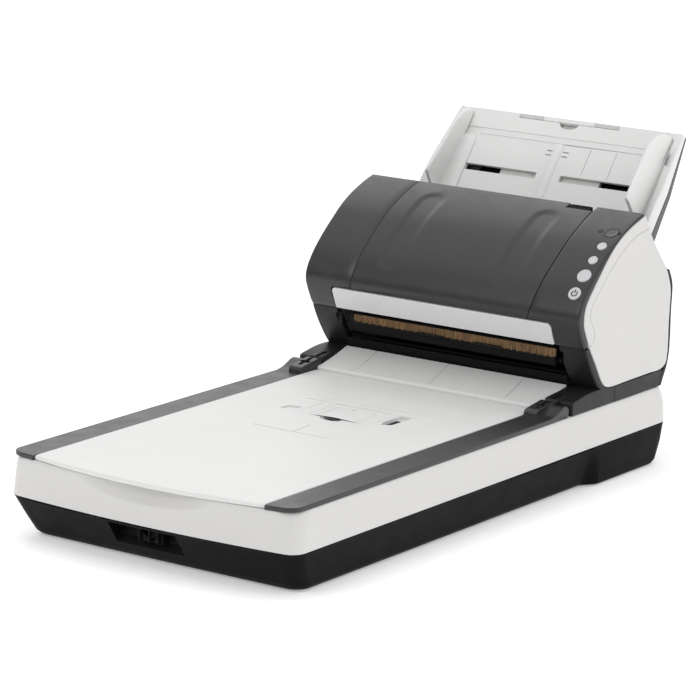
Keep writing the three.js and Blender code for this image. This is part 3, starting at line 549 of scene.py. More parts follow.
def build_lid():
    def ring(z, i):
        p = [(x, lid_front(x, i), z) for x in np.linspace(-119.6 + min(i, 1) * 0.5, 119.6 - min(i, 1) * 0.5, 49)]
        return p + [(119.6 - min(i, 1) * 0.5, 113 - i * 0.3, z), (-119.6 + min(i, 1) * 0.5, 113 - i * 0.3, z)]
    o = loft("lid_panel_v", [ring(71.2, 0.5), ring(71.5, 0.15), ring(72, 0), ring(73.6, 0), ring(74.1, 0.15), ring(74.6, 0.6), ring(74.9, 1.2), ring(75, 2.0)])
    # recess that frames the stopper flap
    cuts = [prismZ("l_pk", fillet([(-28, -22.4), (-14.5, -22.4), (-12.6, -25.5), (-7.5, -28.6), (2.5, -29.4), (7.8, -26.8), (10.2, -22.4), (28, -22.4), (28, 20.8), (-28, 20.8)], [0.8, 2, 2, 4, 4, 2, 1, 0.8, 1.2, 1.2], 3), 72.4, 80),
            prismZ("l_hr", fillet([(42.5, -13.8), (51.6, -9), (52, 20.4), (40, 20.4), (40, -2)], [1.0, 2, 1, 1, 2], 3), 71.9, 80),
            prismZ("l_hl", fillet([(-60, -21), (-46.5, -16), (-46, -4.6), (-60, -7)], [1.5, 1.5, 1.5, 1.5], 3), 73.2, 80),
            groove("l_g1", [(-44.5, -79.6), (39, -79.3)], 1.5, 73.7, 80),
            groove("l_g2", [(-1, -79.2), (-3, -52.5)], 1.3, 73.7, 80),
            # narrow channels either side of the flap's frame
            groove("l_g3", [(-40.5, 19.6), (-40.5, -24.0), (-30.5, -24.0)], 0.7, 74.2, 80),
            groove("l_g4", [(36.0, 19.6), (36.0, -16.0)], 0.7, 74.2, 80)]
    boolean(o, cuts)
    wf = lambda c, e: None
    done(o, "lid", M["lid"], ["lid_panel"], 0.28, 2, 30, wfn=wf)
    wn = o.modifiers.new("normals", "WEIGHTED_NORMAL"); wn.mode = "FACE_AREA"; wn.weight = 100; wn.keep_sharp = True
    # raised hinge line behind the stopper
    rings = []
    for x, h in [(-66, 0.0), (-63, 0.45), (-60, 0.9), (-56, 1.15), (-40, 1.25), (0, 1.3), (40, 1.25), (56, 1.15), (60, 0.9), (63, 0.45), (66, 0.0)]:
        rings.append([(x, 21.0, 74.2), (x, 21.3, 74.9 + h * 0.7), (x, 22.0, 74.95 + h), (x, 24.0, 74.95 + h), (x, 30, 74.95 + h * 0.45), (x, 37, 74.9), (x, 37, 74.2)])
    rim = loft("lid_rim_v", rings)
    done(rim, "lid", M["lid"], (), 0, ang=50)
    # black plates on the floors of the finger notch and the right-hand hole: painted shade that makes the shallow
    # recesses read as deep dark holes
    for nm, pr in (("a", rect(-13.5, 9.5, -28.4, -18.9, 1.5)), ("b", rect(40.8, 51.2, -9, 14, 1.0))):
        sh = prismZ("lid_recess_painted_shade_" + nm, pr, 71.5, 72.3 if nm == "b" else 72.55)
        done(sh, "lid", M["inner"], (), 0.1, 1)
    # stopper flap with its frame lines
    fl = prismZ("stopper_v", fillet([(-27.6, -22.0), (27.6, -22.0), (27.6, 20.2), (-27.6, 20.2)], 1.0, 4), 72.8, 74.9)
    fl2 = [prismZ("s_f", fillet([(-12.6, -30), (8.6, -30), (6.2, -20.8), (2.0, -18.6), (-6.5, -18.6), (-10.6, -20.8)], [0, 0, 2, 3, 3, 2], 4), 70, 80),
           groove("s_g1", [(-20.6, -19.5), (-20.6, 13.5), (-9.0, 13.5)], 0.9, 74.0, 80),
           groove("s_g2", [(20.6, -19.5), (20.6, 13.5), (2.0, 13.5)], 0.9, 74.0, 80),
           prismZ("s_n", rect(-6.4, -1.8, 10.6, 15.4, 1.0, 3), 73.9, 80)]
    boolean(fl, fl2)
    done(fl, "stopper", M["lid"], ["stopper_flap"], 0.22, 2)
    pad = prismZ("lid_pad_v", rect(-111, 111, -242, 97, 4, 5), 68.2, 70.8)
    done(pad, "lid", M["white_foam"], ["lid_pad"], 0.8, 3)
    for s in (1, -1):
        prof = [(-279, 71.2), (-279, 73.4), (-278.7, 74.2), (-278.2, 74.7), (-277.4, 75)]
        prof += [(88, 75)] + cr([(90, 75.1), (98, 76.3), (107, 79.8), (112, 81.8), (115.5, 82.2), (119.3, 80.8), (121.2, 78.2), (121.3, 75.5), (120.4, 72.9), (118.6, 71.5), (117, 71.2)], 1.2)
        ob = prism("strip_v_%s" % ("right" if s > 0 else "left"), prof, 119.9, 147.8)
        pl = [(119.9, -277.4)] + [(132.8 + 15 * math.cos(a), -262.5 + 13 * math.sin(a)) for a in np.linspace(-math.pi / 2, 0, 13)]
        pl += [(147.8, 140), (119.9, 140)]
        boolean(ob, [prismZ("s_pl", pl, 60, 90)], "INTERSECT")
        # taller hinge block on the inner half, ending in an arc about the hinge axis
        arc = []
        for t in np.linspace(math.radians(108), math.radians(-20), 18):
            r_ = 8.4 if t > math.radians(40) else min(8.4, 4.0 / math.sin(math.radians(70) - t))
            arc.append((117 + r_ * math.cos(t), 75.5 + r_ * math.sin(t)))
        blk = prism("s_b", [(90.5, 73.4), (90.6, 77.2), (91.3, 79.0), (92.8, 80.3), (95, 81.0), (102, 81.9), (107, 82.5)] + arc + [(117, 71.7), (112, 73.4)], 120.6, 134.0)
        boolean(ob, [blk], "UNION")
        cutz = [box("s_c1", 125.9, 129.3, 98, 117.6, 80.2, 95, r=0.8), box("s_c2", 122.6, 132.6, 105.0, 109.4, 80.4, 95, r=0.8)]
        boolean(ob, cutz)
        if s < 0:
            q = mirror(ob, ob.name); bpy.data.objects.remove(ob); ob = q
        wf = lambda c, e: 1.1 if (abs(abs(c[0]) - 147.8) < 0.3 or (c[1] < -262 and c[2] > 73)) and c[2] > 73 else None
        done(ob, "lid", M["dark"], ["lid_strip_right" if s > 0 else "lid_strip_left"], 0.45, 3, 30, wfn=wf)


build_lid()

# ------------------------------------------------------------------ feeder
P = [(235.6, 234), (229, 232.2), (217, 228), (201.5, 221.2), (186.1, 212.7), (170.9, 201.6), (155.8, 188.8), (145.5, 178.6), (138, 169), (134.1, 162),
     (132.6, 157), (132.4, 152.5), (134.2, 146), (141.5, 130.5), (143.8, 127.3)]
SIDE = [(237.3, 231.7), (227.5, 229.2), (211.2, 223.6), (195.2, 215.9), (179.5, 204.2), (164.1, 188.9), (156.4, 180.9), (148.8, 172.8), (142.8, 164.1),
        (140.9, 154.7), (141.2, 148.4), (145.7, 137.8), (151.1, 127), (159.8, 113.3), (165.2, 104.6), (171.4, 94.5), (177.4, 88.5), (182.4, 86.7), (189, 85.9),
        (218.8, 86.2), (252.5, 86.4), (271.2, 86.6), (279.2, 90.6), (282.0, 100.2), (282.9, 129.6), (284.2, 147.7), (284.5, 156.9), (281.8, 166.6), (277.8, 175.5),
        (263.1, 194.3), (252.1, 207.8), (244.7, 218.9), (241, 226.2)]
PS = cr(P, 1.8)
SIDE_S = cr(SIDE, 1.6, True)
PATH = [(265.4, 185.4), (245.5, 159.9), (233.2, 144.2), (221, 130.5), (207, 118.5), (192, 109.5), (176, 103), (163, 99.5)]
PICK, FEED, EJECT, BRAKE, IDLER = (259.5, 161.6), (227.3, 124.1), (178.4, 95.9), (243.5, 174.1), (173.4, 110.7)


def seam_r(z):
    """Right-hand seam between the opening cover and the operator panel."""
    return float(np.interp(z, [126, 150, 156, 162, 170, 178, 194, 211, 222.6, 234], [94.2, 94.4, 96.2, 97.4, 98.3, 98.9, 100.2, 101.2, 100.7, 98.8]))


def seam_l(z):
    return float(np.interp(z, [126, 150, 165, 200, 234], [-96.6, -96.4, -95.2, -94.7, -94.2]))


def on_p(y):
    for a, b in zip(P, P[1:]):
        if b[0] <= y <= a[0]:
            t = (a[0] - y) / (a[0] - b[0])
            n = Vector((0, -(a[1] - b[1]), a[0] - b[0])).normalized()
            return (y, a[1] + t * (b[1] - a[1])), n


def on_ps(y):
    best = None
    for a, b in zip(PS, PS[1:]):
        if b[0] <= y <= a[0]:
            t = (a[0] - y) / max(1e-6, (a[0] - b[0]))
            n = Vector((0, -(a[1] - b[1]), a[0] - b[0])).normalized()
            return (y, a[1] + t * (b[1] - a[1])), n


BUTTONS = [("function_button", "btn_function", 137.2, 184, 4.5), ("send_button", "btn_send", 137.0, 170.3, 4.5), ("scan_stop_button", "btn_scan", 137.0, 156.6, 6.7), ("power_button", "btn_power", 136.2, 143.2, 6.1)]
LENSES = [("status_display", 136.1, 200.9, 6.6), ("check_lamp", 124.8, 200.6, 1.8)]


def build_cover():
    line = [p for p in PS if p[1] > 149.6] + [(133.0, 149.9), (133.5, 149.0), (134.3, 148.5)]
    inn = offs([p for p in PS if p[1] > 150.5], 3)
    inn = inn + [(136.9, 149.2), (135.6, 148.5)]
    arc = [0.0]
    for a, b in zip(line, line[1:]):
        arc.append(arc[-1] + math.hypot(b[0] - a[0], b[1] - a[1]))
    nrm = offs(line, 1)

    def s_at(y, z):
        return arc[min(range(len(line)), key=lambda i: math.hypot(line[i][0] - y, line[i][1] - z))]
    sA, sB = s_at(220.6, 229.2), s_at(138.2, 169.2)

    def depth(x, s):
        d = 0
        for cxm, hw in ((-61.5, 15.0), (62, 15.0)):
            a, b = sA + hw, sB - hw
            ss = min(max(s, a), b)
            dist = math.hypot(x - cxm - 2.0 * (s - a) / (b - a) * 0, s - ss)
            d += (1.35 - 0.7 * (ss - a) / (b - a)) * sstep(hw, hw - 7.5, dist)
        return d
    NX = 130
    rings = []
    for k in range(NX + 1):
        f = k / NX
        ring = []
        for i, p in enumerate(line):
            x = seam_l(p[1]) + (seam_r(p[1]) - 0.3 - seam_l(p[1])) * f
            e = min(x - seam_l(p[1]), seam_r(p[1]) - 0.3 - x)
            d = depth(x, arc[i]) if e > 2 else 0
            ring.append((x, p[0] + (nrm[i][0] - p[0]) * d, p[1] + (nrm[i][1] - p[1]) * d))
        for p in inn[::-1]:
            x = seam_l(p[1]) + (seam_r(p[1]) - 0.3 - seam_l(p[1])) * f
            ring.append((x, p[0], p[1]))
        rings.append(ring)
    o = loft("feeder_cover_v", rings)
    UNDER = offs(PATH[1:], -4.2)
    web = [p for p in line if True] + [(138.4, 147.6), (147.0, 128.2), (156.8, 125.2), (156.8, 118), (153.8, 114.5), (153.8, 108.8), (157, 105.6)] + UNDER[::-1] + [(247.2, 170), (243.4, 187), (239.4, 214)]
    notch = prism("n", [(226.6, 250), (252, 250), (252, 221.6), (229.4, 221.6), (227.2, 226.4)], 71, 110)
    boolean(o, [notch])
    wfn = lambda c, e: 0.55 if abs(c[0]) > 90 else None
    done(o, "cover", M["dark"], ["adf_cover"], 0.4, 3, 40, wfn=wfn)
    # webs under the cover, with the pivot eyes
    wi = offs(web, 0)
    for s in (1, -1):
        w = prism("cover_web_v_%s" % ("right" if s > 0 else "left"), [p for p in shrink(web, 0.35)], 94.2 if s > 0 else -96.6, 96.6 if s > 0 else -94.2)
        cuts = [lathe("e", [(0, -20), (3.3, -20), (3.3, 20), (0, 20)], (95 * s, 158, 111), (1, 0, 0), 32)]
        if s > 0:
            cuts.append(prism("n2", [(226.6, 250), (252, 250), (252, 221.6), (229.4, 221.6)], 71, 110))
        boolean(w, cuts)
        done(w, "cover", M["inner"], (), 0.3, 2, 34)
    # cross ribs on the inside of the cover shell
    for k, x in enumerate((-60, -20, 20, 60)):
        li = offs([p for p in PS if 165 < p[1] < 214], 2.9)
        rb = prism("cover_rib_v%d" % k, li + offs(li, 5)[::-1], x - 0.8, x + 0.8)
        done(rb, "cover", M["inner"], (), 0.2, 2, 50)
    lv = prism("release_lever_v", fillet([(228.2, 231.3), (235.2, 233.3), (236.4, 232.4), (236.2, 226.7), (230.2, 225.3), (228.5, 228)], 0.7, 3), 72.0, 93.9)
    grip = [prism("lg%d" % i, [(229.6 + i * 1.5, 233.2 + i * 0.42), (230.1 + i * 1.5, 231.0 + i * 0.42), (230.4 + i * 1.5, 233.4 + i * 0.42)], 74, 92) for i in range(4)]
    boolean(lv, grip)
    done(lv, "lever", M["black"], ["cover_release_lever"], 0.3, 2)


def shrink(poly, d):
    a = sum(poly[i][0] * poly[(i + 1) % len(poly)][1] - poly[(i + 1) % len(poly)][0] * poly[i][1] for i in range(len(poly)))
    sg = 1 if a > 0 else -1
    n = len(poly); out = []
    for i, p in enumerate(poly):
        a_, b_ = poly[i - 1], poly[(i + 1) % n]
        t = (b_[0] - a_[0], b_[1] - a_[1]); l = math.hypot(*t) or 1
        out.append((p[0] - t[1] / l * d * sg, p[1] + t[0] / l * d * sg))
    return out


def build_panels():
    q = []
    j = 0
    ST = cr(SIDE[:14], 0.8)
    for p in PS:
        k = min(range(len(ST)), key=lambda i: math.hypot(ST[i][0] - p[0], ST[i][1] - p[1]))
        q.append(ST[k])
    # smooth the pairing so the band's inner edge runs clean
    q = [tuple(np.mean([q[max(0, min(len(q) - 1, i + k))] for k in (-2, -1, 0, 1, 2)], axis=0)) for i in range(len(q))]
    for s in (1, -1):
        rings = []
        for i, p in enumerate(PS):
            d = (q[i][0] - p[0], q[i][1] - p[1]); l = math.hypot(*d); d = (d[0] / l, d[1] / l)
            w = l - 0.3
            sx = (seam_r(p[1]) if s > 0 else -seam_l(p[1])) + 0.3
            r = min(2.6, w * 0.85)
            sec = [(sx, 3.0), (sx, 0.5), (sx + 0.15, 0.15), (sx + 0.5, 0.0)]
            sec += [(x, 0.0) for x in (104, 112, 119.8, 124, 128, 132, 136, 140, 143)]
            sec += [(148.3 - r + r * math.sin(t), r * (1 - math.cos(t))) for t in np.linspace(0, math.pi / 2, 7)]
            sec += [(148.3, w), (145.4, w), (145.4, 3.0)]
            rings.append([(x, p[0] + d[0] * t, p[1] + d[1] * t) for x, t in sec])
        o = loft("panel_v_%s" % ("right" if s > 0 else "left"), rings)
        pr = fillet([(80, 100), (117.6 if s > 0 else 119.8, 100), (117.6 if s > 0 else 119.8, 127), (118.6 if s > 0 else 119.8, 149.2), (80, 149.2)], [0, 0, 0, 4.6, 0], 8)
        cut = loft("p_n", [[(x, y, z) for x, z in pr] for y in (110, 168)])
        cuts = [cut]
        if s > 0:
            for (_, x, y, r) in [(b[0], b[2], b[3], b[4]) for b in BUTTONS] + LENSES:
                c, n = on_ps(y)
                cuts.append(lathe("h", [(0, -9), (r + 0.3, -9), (r + 0.3, 6), (0, 6)], (x, c[0], c[1]), n, 48))
        boolean(o, cuts)
        if s < 0:
            m_ = mirror(o, o.name); bpy.data.objects.remove(o); o = m_
        done(o, "base", M["dark"], ["operator_panel" if s > 0 else "front_panel_left"], 0.35, 2, 38)
    # buttons: shallow dished caps on a fine skirt
    for name, body, x, y, r in BUTTONS:
        c, n = on_ps(y)
        prof = [(0, -4.4), (r, -4.4), (r, 0.25), (r - 0.12, 0.6), (r - 0.45, 0.85), (r - 0.9, 0.9), (r - 1.6, 0.78)]
        prof += [(rr, 0.55 + 0.2 * (rr / (r - 1.6)) ** 2) for rr in np.linspace(r - 1.9, 0.6, 6)] + [(0, 0.55)]
        o = lathe(name + "_v", prof, (x, c[0], c[1]), n, 56)
        done(o, body, M["button"], [name], 0, ang=60)
        if name == "power_button":
            nn = n; up = Vector((0, 0, 1)); t = (up - nn * up.dot(nn)).normalized(); sd = t.cross(nn).normalized()
            base = Vector((x, c[0], c[1]))

            def at(a, b, h):
                v = base + sd * a + t * b + nn * h
                return (v.x, v.y, v.z)
            ri, ro = 2.25, 3.15
            ang = np.linspace(math.radians(132), math.radians(408), 34)
            vs, fs = [], []
            for a in ang:
                for rr, h in ((ri, 0.5), (ro, 0.5), (ro, 0.8), (ri, 0.8)):
                    vs.append(at(rr * math.cos(a), rr * math.sin(a), h))
            for k in range(len(ang) - 1):
                for e in range(4):
                    f = (e + 1) % 4
                    fs.append((4 * k + e, 4 * k + f, 4 * k + 4 + f, 4 * k + 4 + e))
            fs += [(0, 1, 2, 3), tuple(4 * (len(ang) - 1) + e for e in range(4))]
            b0 = len(vs)
            for h in (0.5, 0.8):
                for a, b in ((-0.45, 0.7), (0.45, 0.7), (0.45, 3.9), (-0.45, 3.9)):
                    vs.append(at(a, b, h))
            fs += [(b0, b0 + 1, b0 + 2, b0 + 3), (b0 + 4, b0 + 5, b0 + 6, b0 + 7)] + [(b0 + e, b0 + (e + 1) % 4, b0 + 4 + (e + 1) % 4, b0 + 4 + e) for e in range(4)]
            g = raw("power_symbol_v", vs, fs)
            done(g, body, M["mark"], (), 0, ang=30)
    for name, x, y, r in LENSES:
        c, n = on_ps(y)
        if name == "status_display":
            prof = [(0, -3.4), (r, -3.4), (r, 0.05), (r - 0.2, 0.25), (r - 0.7, 0.3), (r - 1.0, 0.12), (r * 0.5, 0.16), (0, 0.18)]
        else:
            prof = [(0, -3.4), (r, -3.4), (r, -0.25), (r * 0.8, -0.02), (r * 0.4, 0.1), (0, 0.12)]
        o = lathe(name + "_v", prof, (x, c[0], c[1]), n, 56)
        done(o, "base", M["lens" if name == "status_display" else "lamp"], [name], 0, ang=50)


build_cover()
build_panels()


def build_sides():
    def cut_line(pts, w):
        l, r_ = offs(pts, w / 2), offs(pts, -w / 2)
        return l + r_[::-1]
    seam = cr([(246, 221.5), (242.8, 219.4), (221.8, 215.5), (201.3, 205.2), (188.7, 196.6), (174.9, 186.0), (163.9, 175.1), (155.3, 166.6), (151.3, 160.2), (150.8, 154.6), (154.2, 146.9), (157.3, 142.1), (157.7, 134.9), (154.6, 130.5), (147.0, 128.2)], 2.0)
    for s in (1, -1):
        rings = []
        sh = SIDE_S
        for x, i in ((145.7, 0.0), (147.3, 0.0), (147.9, 0.08), (148.3, 0.4), (148.47, 0.85), (148.5, 1.5)):
            rings.append([(x, a, b) for a, b in shrink(sh, i)])
        o = loft("side_v_%s" % ("right" if s > 0 else "left"), rings)
        boolean(o, [prism("sc", cut_line(seam, 0.45), 147.75, 152)])
        if s < 0:
            m_ = mirror(o, o.name); bpy.data.objects.remove(o); o = m_
        done(o, "base", M["white"], ["side_cover_right" if s > 0 else "side_cover_left"], 0.15, 2, 40)


build_sides()


def build_front():
    # pale strip across the exit, rounded at its upper corners
    a = np.array((133.5, 147.6)); b = np.array((141.98, 127.4)); L_ = np.linalg.norm(b - a); u = (b - a) / L_
    nin = np.array((-u[1], u[0]))
    if nin[0] < 0:
        nin = -nin
    pr = fillet([(-119.2, 0), (118.0, 0), (117.0, L_), (-119.2, L_)], [4.2, 4.2, 1.2, 1.2], 8)
    rings = []
    for d, i in ((0, 0.9), (0.06, 0.5), (0.35, 0.12), (0.9, 0), (2.2, 0), (2.6, 0.2)):
        rings.append([(x, *(a + u * w + nin * d)) for x, w in shrink(pr, i)])
    o = loft("front_strip_v", rings)
    done(o, "cover", M["strip"], ["front_strip"], 0, ang=50)
    h = prism("brush_holder_v", fillet([(147.6, 124.6), (153.3, 124.0), (153.3, 122.6), (147.6, 122.9)], 0.3, 2), -104, 114.6)
    done(h, "cover", M["inner"], ["brush_holder"], 0.25, 2)
    # brush: separate tapering bristles in soft clumps
    vs, fs = [], []
    x = -103.0
    while x < 113.8:
        for row in range(4):
            bx_ = x + rnd.uniform(-0.25, 0.25)
            by_ = 148.2 + row * 0.9 + rnd.uniform(-0.2, 0.2)
            cl = round(bx_ / 3.1) * 3.1
            tipx = bx_ + (cl - bx_) * 0.3 + rnd.uniform(-0.35, 0.35)
            tipz = 115.6 + rnd.uniform(0, 1.5) + 0.4 * math.sin(bx_ * 0.9) - 0.006 * (bx_ + 100)
            tipy = by_ + rnd.uniform(-0.5, 0.35)
            w = rnd.uniform(0.13, 0.21)
            k0 = len(vs)
            for f in (0, 0.4, 0.75, 1.0):
                cx_ = bx_ + (tipx - bx_) * f ** 1.5
                cy_ = by_ + (tipy - by_) * f ** 2
                cz_ = 123.4 + (tipz - 123.4) * f
                ww = w * (1 - 0.55 * f)
                for t in (0.3, 2.4, 4.5):
                    vs.append((cx_ + ww * math.cos(t), cy_ + ww * math.sin(t), cz_))
            for f in range(3):
                for e in range(3):
                    g = (e + 1) % 3
                    fs.append((k0 + 3 * f + e, k0 + 3 * f + g, k0 + 3 * f + 3 + g, k0 + 3 * f + 3 + e))
            fs.append((k0 + 2, k0 + 1, k0)); fs.append((k0 + 9, k0 + 10, k0 + 11))
        x += 0.42
    me = bpy.data.meshes.new("exit_brush_v")
    me.from_pydata([tuple(V(v)) for v in vs], [], fs)
    o = bpy.data.objects.new("exit_brush_v", me); SC.collection.objects.link(o)
    done(o, "cover", M["brushm"], ["exit_brush"], 0, ang=60)
    # lower frame: cheeks, hinge blocks, bottom band
    front = cr([(144.4, 126.9), (146.2, 122.2), (154.1, 107.6), (160.4, 98)], 2.0) + cr([(160.4, 98), (165.0, 91.8), (169.4, 86.8)], 2.0)[1:]
    back = cr([(150.5, 126.6), (159.2, 112.9), (164.6, 104.2), (170.8, 94.0), (173.6, 90.4), (176.6, 87.9), (182, 86.2), (189, 85.4)], 2.0)
    cheek = [(125.9, 71.2), (125.9, 81.2), (126.4, 82.3), (128, 83.2), (145, 86), (153, 86.8), (161, 87.0)] + front[::-1] + back + [(268, 85.4), (274.6, 85.4), (271.0, 80.0), (268.2, 71.2)]
    harc = [(117 + 8.9 * math.cos(t), 75.5 + 8.9 * math.sin(t)) for t in np.linspace(math.radians(5), math.radians(48), 8)]
    hblk = harc + [(124.2, 84.3), (130, 84.9), (140, 85.9), (140, 76), (126, 75.6)]
    for s in (1, -1):
        o = prism("lower_cheek_%s" % ("right" if s > 0 else "left"), cheek, 120.3, 148.3)
        boolean(o, [prism("hb", hblk, 120.9, 134.0)], "UNION")
        cuts = [box("k1", 125.9, 129.3, 124.6, 141, 82.0, 95, r=0.8),
                # slot in the inner wall under the panel
                box("k3", 118, 123.2, 140, 152.2, 108.5, 121.5, r=1.0),
                prism("k4", [(193.9, 70), (194.4, 70), (194.4, 86), (193.9, 86)], 147.9, 150)]
        boolean(o, cuts)
        if s < 0:
            m_ = mirror(o, o.name); bpy.data.objects.remove(o); o = m_

        def wfn(c, e):
            if abs(abs(c[0]) - 148.3) < 0.05:
                onf = min(math.hypot(c[1] - p[0], c[2] - p[1]) for p in front) < 1.6
                if onf:
                    return 1.9
                if c[1] < 165 and c[2] < 88:
                    return 0.9
                return 0.3
            if c[2] > 83 and 128 < c[1] < 164 and abs(c[0]) < 120.5:
                return 0.8
            return None
        done(o, "base", M["darkside"], ["adf_lower_frame"] if s > 0 else (), 0.35, 3, 30, wfn=wfn)
        fp = prism("lower_fill_v%d" % s, fillet([(262, 84.6), (274.8, 84.6), (279.3, 89.8), (282.2, 99.0), (282.8, 112), (262, 112)], 1, 3), 145.8 if s > 0 else -146.9, 146.9 if s > 0 else -145.8)
        done(fp, "base", M["darkside"], (), 0.2, 2)
    fl = prism("lower_floor_v", [(162.2, 71.3), (162.2, 91.5), (164.5, 91.5), (164.5, 74.2), (268, 74.2), (268, 71.3)], -120.2, 120.2)
    done(fl, "base", M["inner"], (), 0.3, 2)
    # dark shield behind the brush and two small tabs under it
    li = cr([(153.0, 121.2), (153.1, 116), (153.2, 111), (153.4, 108.6), (154.2, 106.2)], 1.5)
    shd = prism("exit_shield_v", li + offs(li, -1.2)[::-1], -112.5, 112.5)
    done(shd, "cover", M["inner"], (), 0.2, 2)
    for k, xc in enumerate((-18, 43)):
        t = prism("exit_tab_v%d" % k, fillet([(147.6, 116.6), (153.2, 116.6), (153.2, 113.4), (149.0, 113.6)], 0.4, 3), xc - 15, xc + 15)
        done(t, "cover", M["inner"], (), 0.3, 2)
    wl = prism("exit_wall_v", [(161.4, 91.0), (162.6, 91.0), (162.6, 96.6), (161.9, 97.3), (161.0, 96.8)], -119.4, 119.4)
    done(wl, "base", M["inner"], (), 0.2, 2)
    # exit ramp with its moulded joints and hinge nubs
    rp = prism("exit_ramp_v", [(114.6, 71.3), (118, 71.3), (118, 75.0)] + cr([(118.6, 75.1), (130, 77.8), (145, 81.5), (160, 86)], 3) + cr([(160, 88.8), (145, 84.3), (130, 80.6), (118.5, 78.35)], 3) + [(116.8, 78.3), (115.4, 77.6), (114.6, 76.4)], -119.6, 119.6)
    gr = []
    for k, (xa, xb) in enumerate(((-85.3, -81.2), (-6.2, -0.3), (75.6, 81.1))):
        top = cr([(162, 89.6), (145, 84.3), (130, 80.6), (120, 78.6)], 4)
        rings = []
        for i, p in enumerate(top):
            x = xa + (xb - xa) * i / (len(top) - 1)
            rings.append([(x - 0.25, p[0], p[1] + 1), (x + 0.25, p[0], p[1] + 1), (x + 0.25, p[0] + 0.1, p[1] - 0.4), (x - 0.25, p[0] + 0.1, p[1] - 0.4)])
        gr.append(loft("g%d" % k, rings))
    boolean(rp, gr)
    done(rp, "base", M["lid"], ["exit_ramp"], 0.25, 2, 40)
    for k, x in enumerate((-58, -2, 54)):
        nb = raw("ramp_nub_v%d" % k, *uv_ellipsoid((x, 117.2, 78.0), (1.7, 1.5, 0.9), 20, 12))
        done(nb, "base", M["lid"], (), 0, ang=60)


build_front()


def build_rear():
    wall_o = cr([(271.8, 71.3), (275, 77), (281.4, 88.4), (284.9, 101.6), (286.1, 138.3), (287.2, 161.1), (284.8, 168.8), (280.6, 176.8)], 2.5)
    wall_i = cr([(278.5, 175.9), (282.3, 167.0), (285.0, 157), (284.7, 147.7), (283.4, 129.6), (282.5, 100.2), (279.7, 90.3), (271.4, 80), (268.5, 71.3)], 2.5)
    line = cr([(281.2, 176.4), (264.3, 195.2), (253.3, 208.6), (245.8, 219.6), (242.0, 226.9), (238.6, 232.8)], 2.5)
    li = offs(line, 2.6)
    sh = line + [p for p in li[::-1] if p[0] < 278.6]
    o = prism("rear_cover_v", wall_o + wall_i, -148.3, 148.3)
    for s in (1, -1):
        w = prism("rs", shrink(sh, 0.02), 128.4 if s > 0 else -145.3, 145.3 if s > 0 else -128.4)
        boolean(o, [w], "UNION")
    cuts = []
    rr = lambda x0, x1: fillet([(x0, 95.6), (x1, 95.6), (x1, 107.4), (x0, 107.4)], 1.2, 3)
    for x0, x1 in ((71.6, 84.4), (91.6, 103.4)):
        pr = rr(x0, x1)
        cuts.append(loft("pt", [[(x, y, z) for x, z in pr] for y in (260, 300)]))
    # a row of air slots in the back
    for k in range(14):
        x0 = -104 + 8 * k
        pr = fillet([(x0, 112), (x0 + 3, 112), (x0 + 3, 140), (x0, 140)], 1.45, 4)
        if x0 + 3 < 8:
            cuts.append(loft("vs", [[(x, y, z) for x, z in pr] for y in (282.0, 292)]))
    boolean(o, cuts)
    done(o, "base", M["darkside"], ["rear_cover"], 0.35, 2, 34)
    # end caps closing the rear wall against the bottom band
    capp = [(268.9, 71.5), (271.9, 71.5), (275.1, 77.2), (281.3, 88.7), (284.6, 101.8), (285.5, 120), (284.4, 120), (283.3, 101), (280.4, 90.8), (276.4, 86.2), (271.9, 80.3)]
    for s in (1, -1):
        cp = prism("rear_cap_v%d" % s, capp, 147.6 if s > 0 else -148.38, 148.38 if s > 0 else -147.6)
        done(cp, "base", M["darkside"], (), 0.12, 2)


build_rear()

# ------------------------------------------------------------------ chute
CS, SN = math.cos(math.radians(52)), math.sin(math.radians(52))


def C(s, n):
    return (344 + s * CS - n * SN, 286 + s * SN + n * CS)


def half_at(s):
    h = 122.6 + 4.9 * min(1, -s / 60)
    if s > -2.6:
        h -= 2.6 - math.sqrt(max(0, 2.6 ** 2 - (s + 2.6) ** 2))
    return h


def rim_at(s):
    return 2.6 + 8.4 * min(1, -s / 80)


def loftS(name, ss, sec):
    rings = []
    for s in ss:
        rings.append([(x, *C(s, n)) for x, n in sec(s)])
    return loft(name, rings)


def cprism(name, prof, n0, n1):
    """A plan outline in (x, s) standing from n0 to n1 off the chute's surface."""
    return loft(name, [[(x, *C(s, n)) for x, s in prof] for n in (n0, n1)])


def cbox(name, x0, x1, s0, s1, n0, n1, r=0):
    return cprism(name, rect(x0, x1, s0, s1, r, 4), n0, n1)


SS = [-0.05, -0.5, -1.1, -1.9, -2.8, -4, -5.5, -7, -9, -12, -16, -20, -26, -32, -38, -44, -50, -56, -60, -64, -70, -76, -80, -90, -100, -112, -124.5]


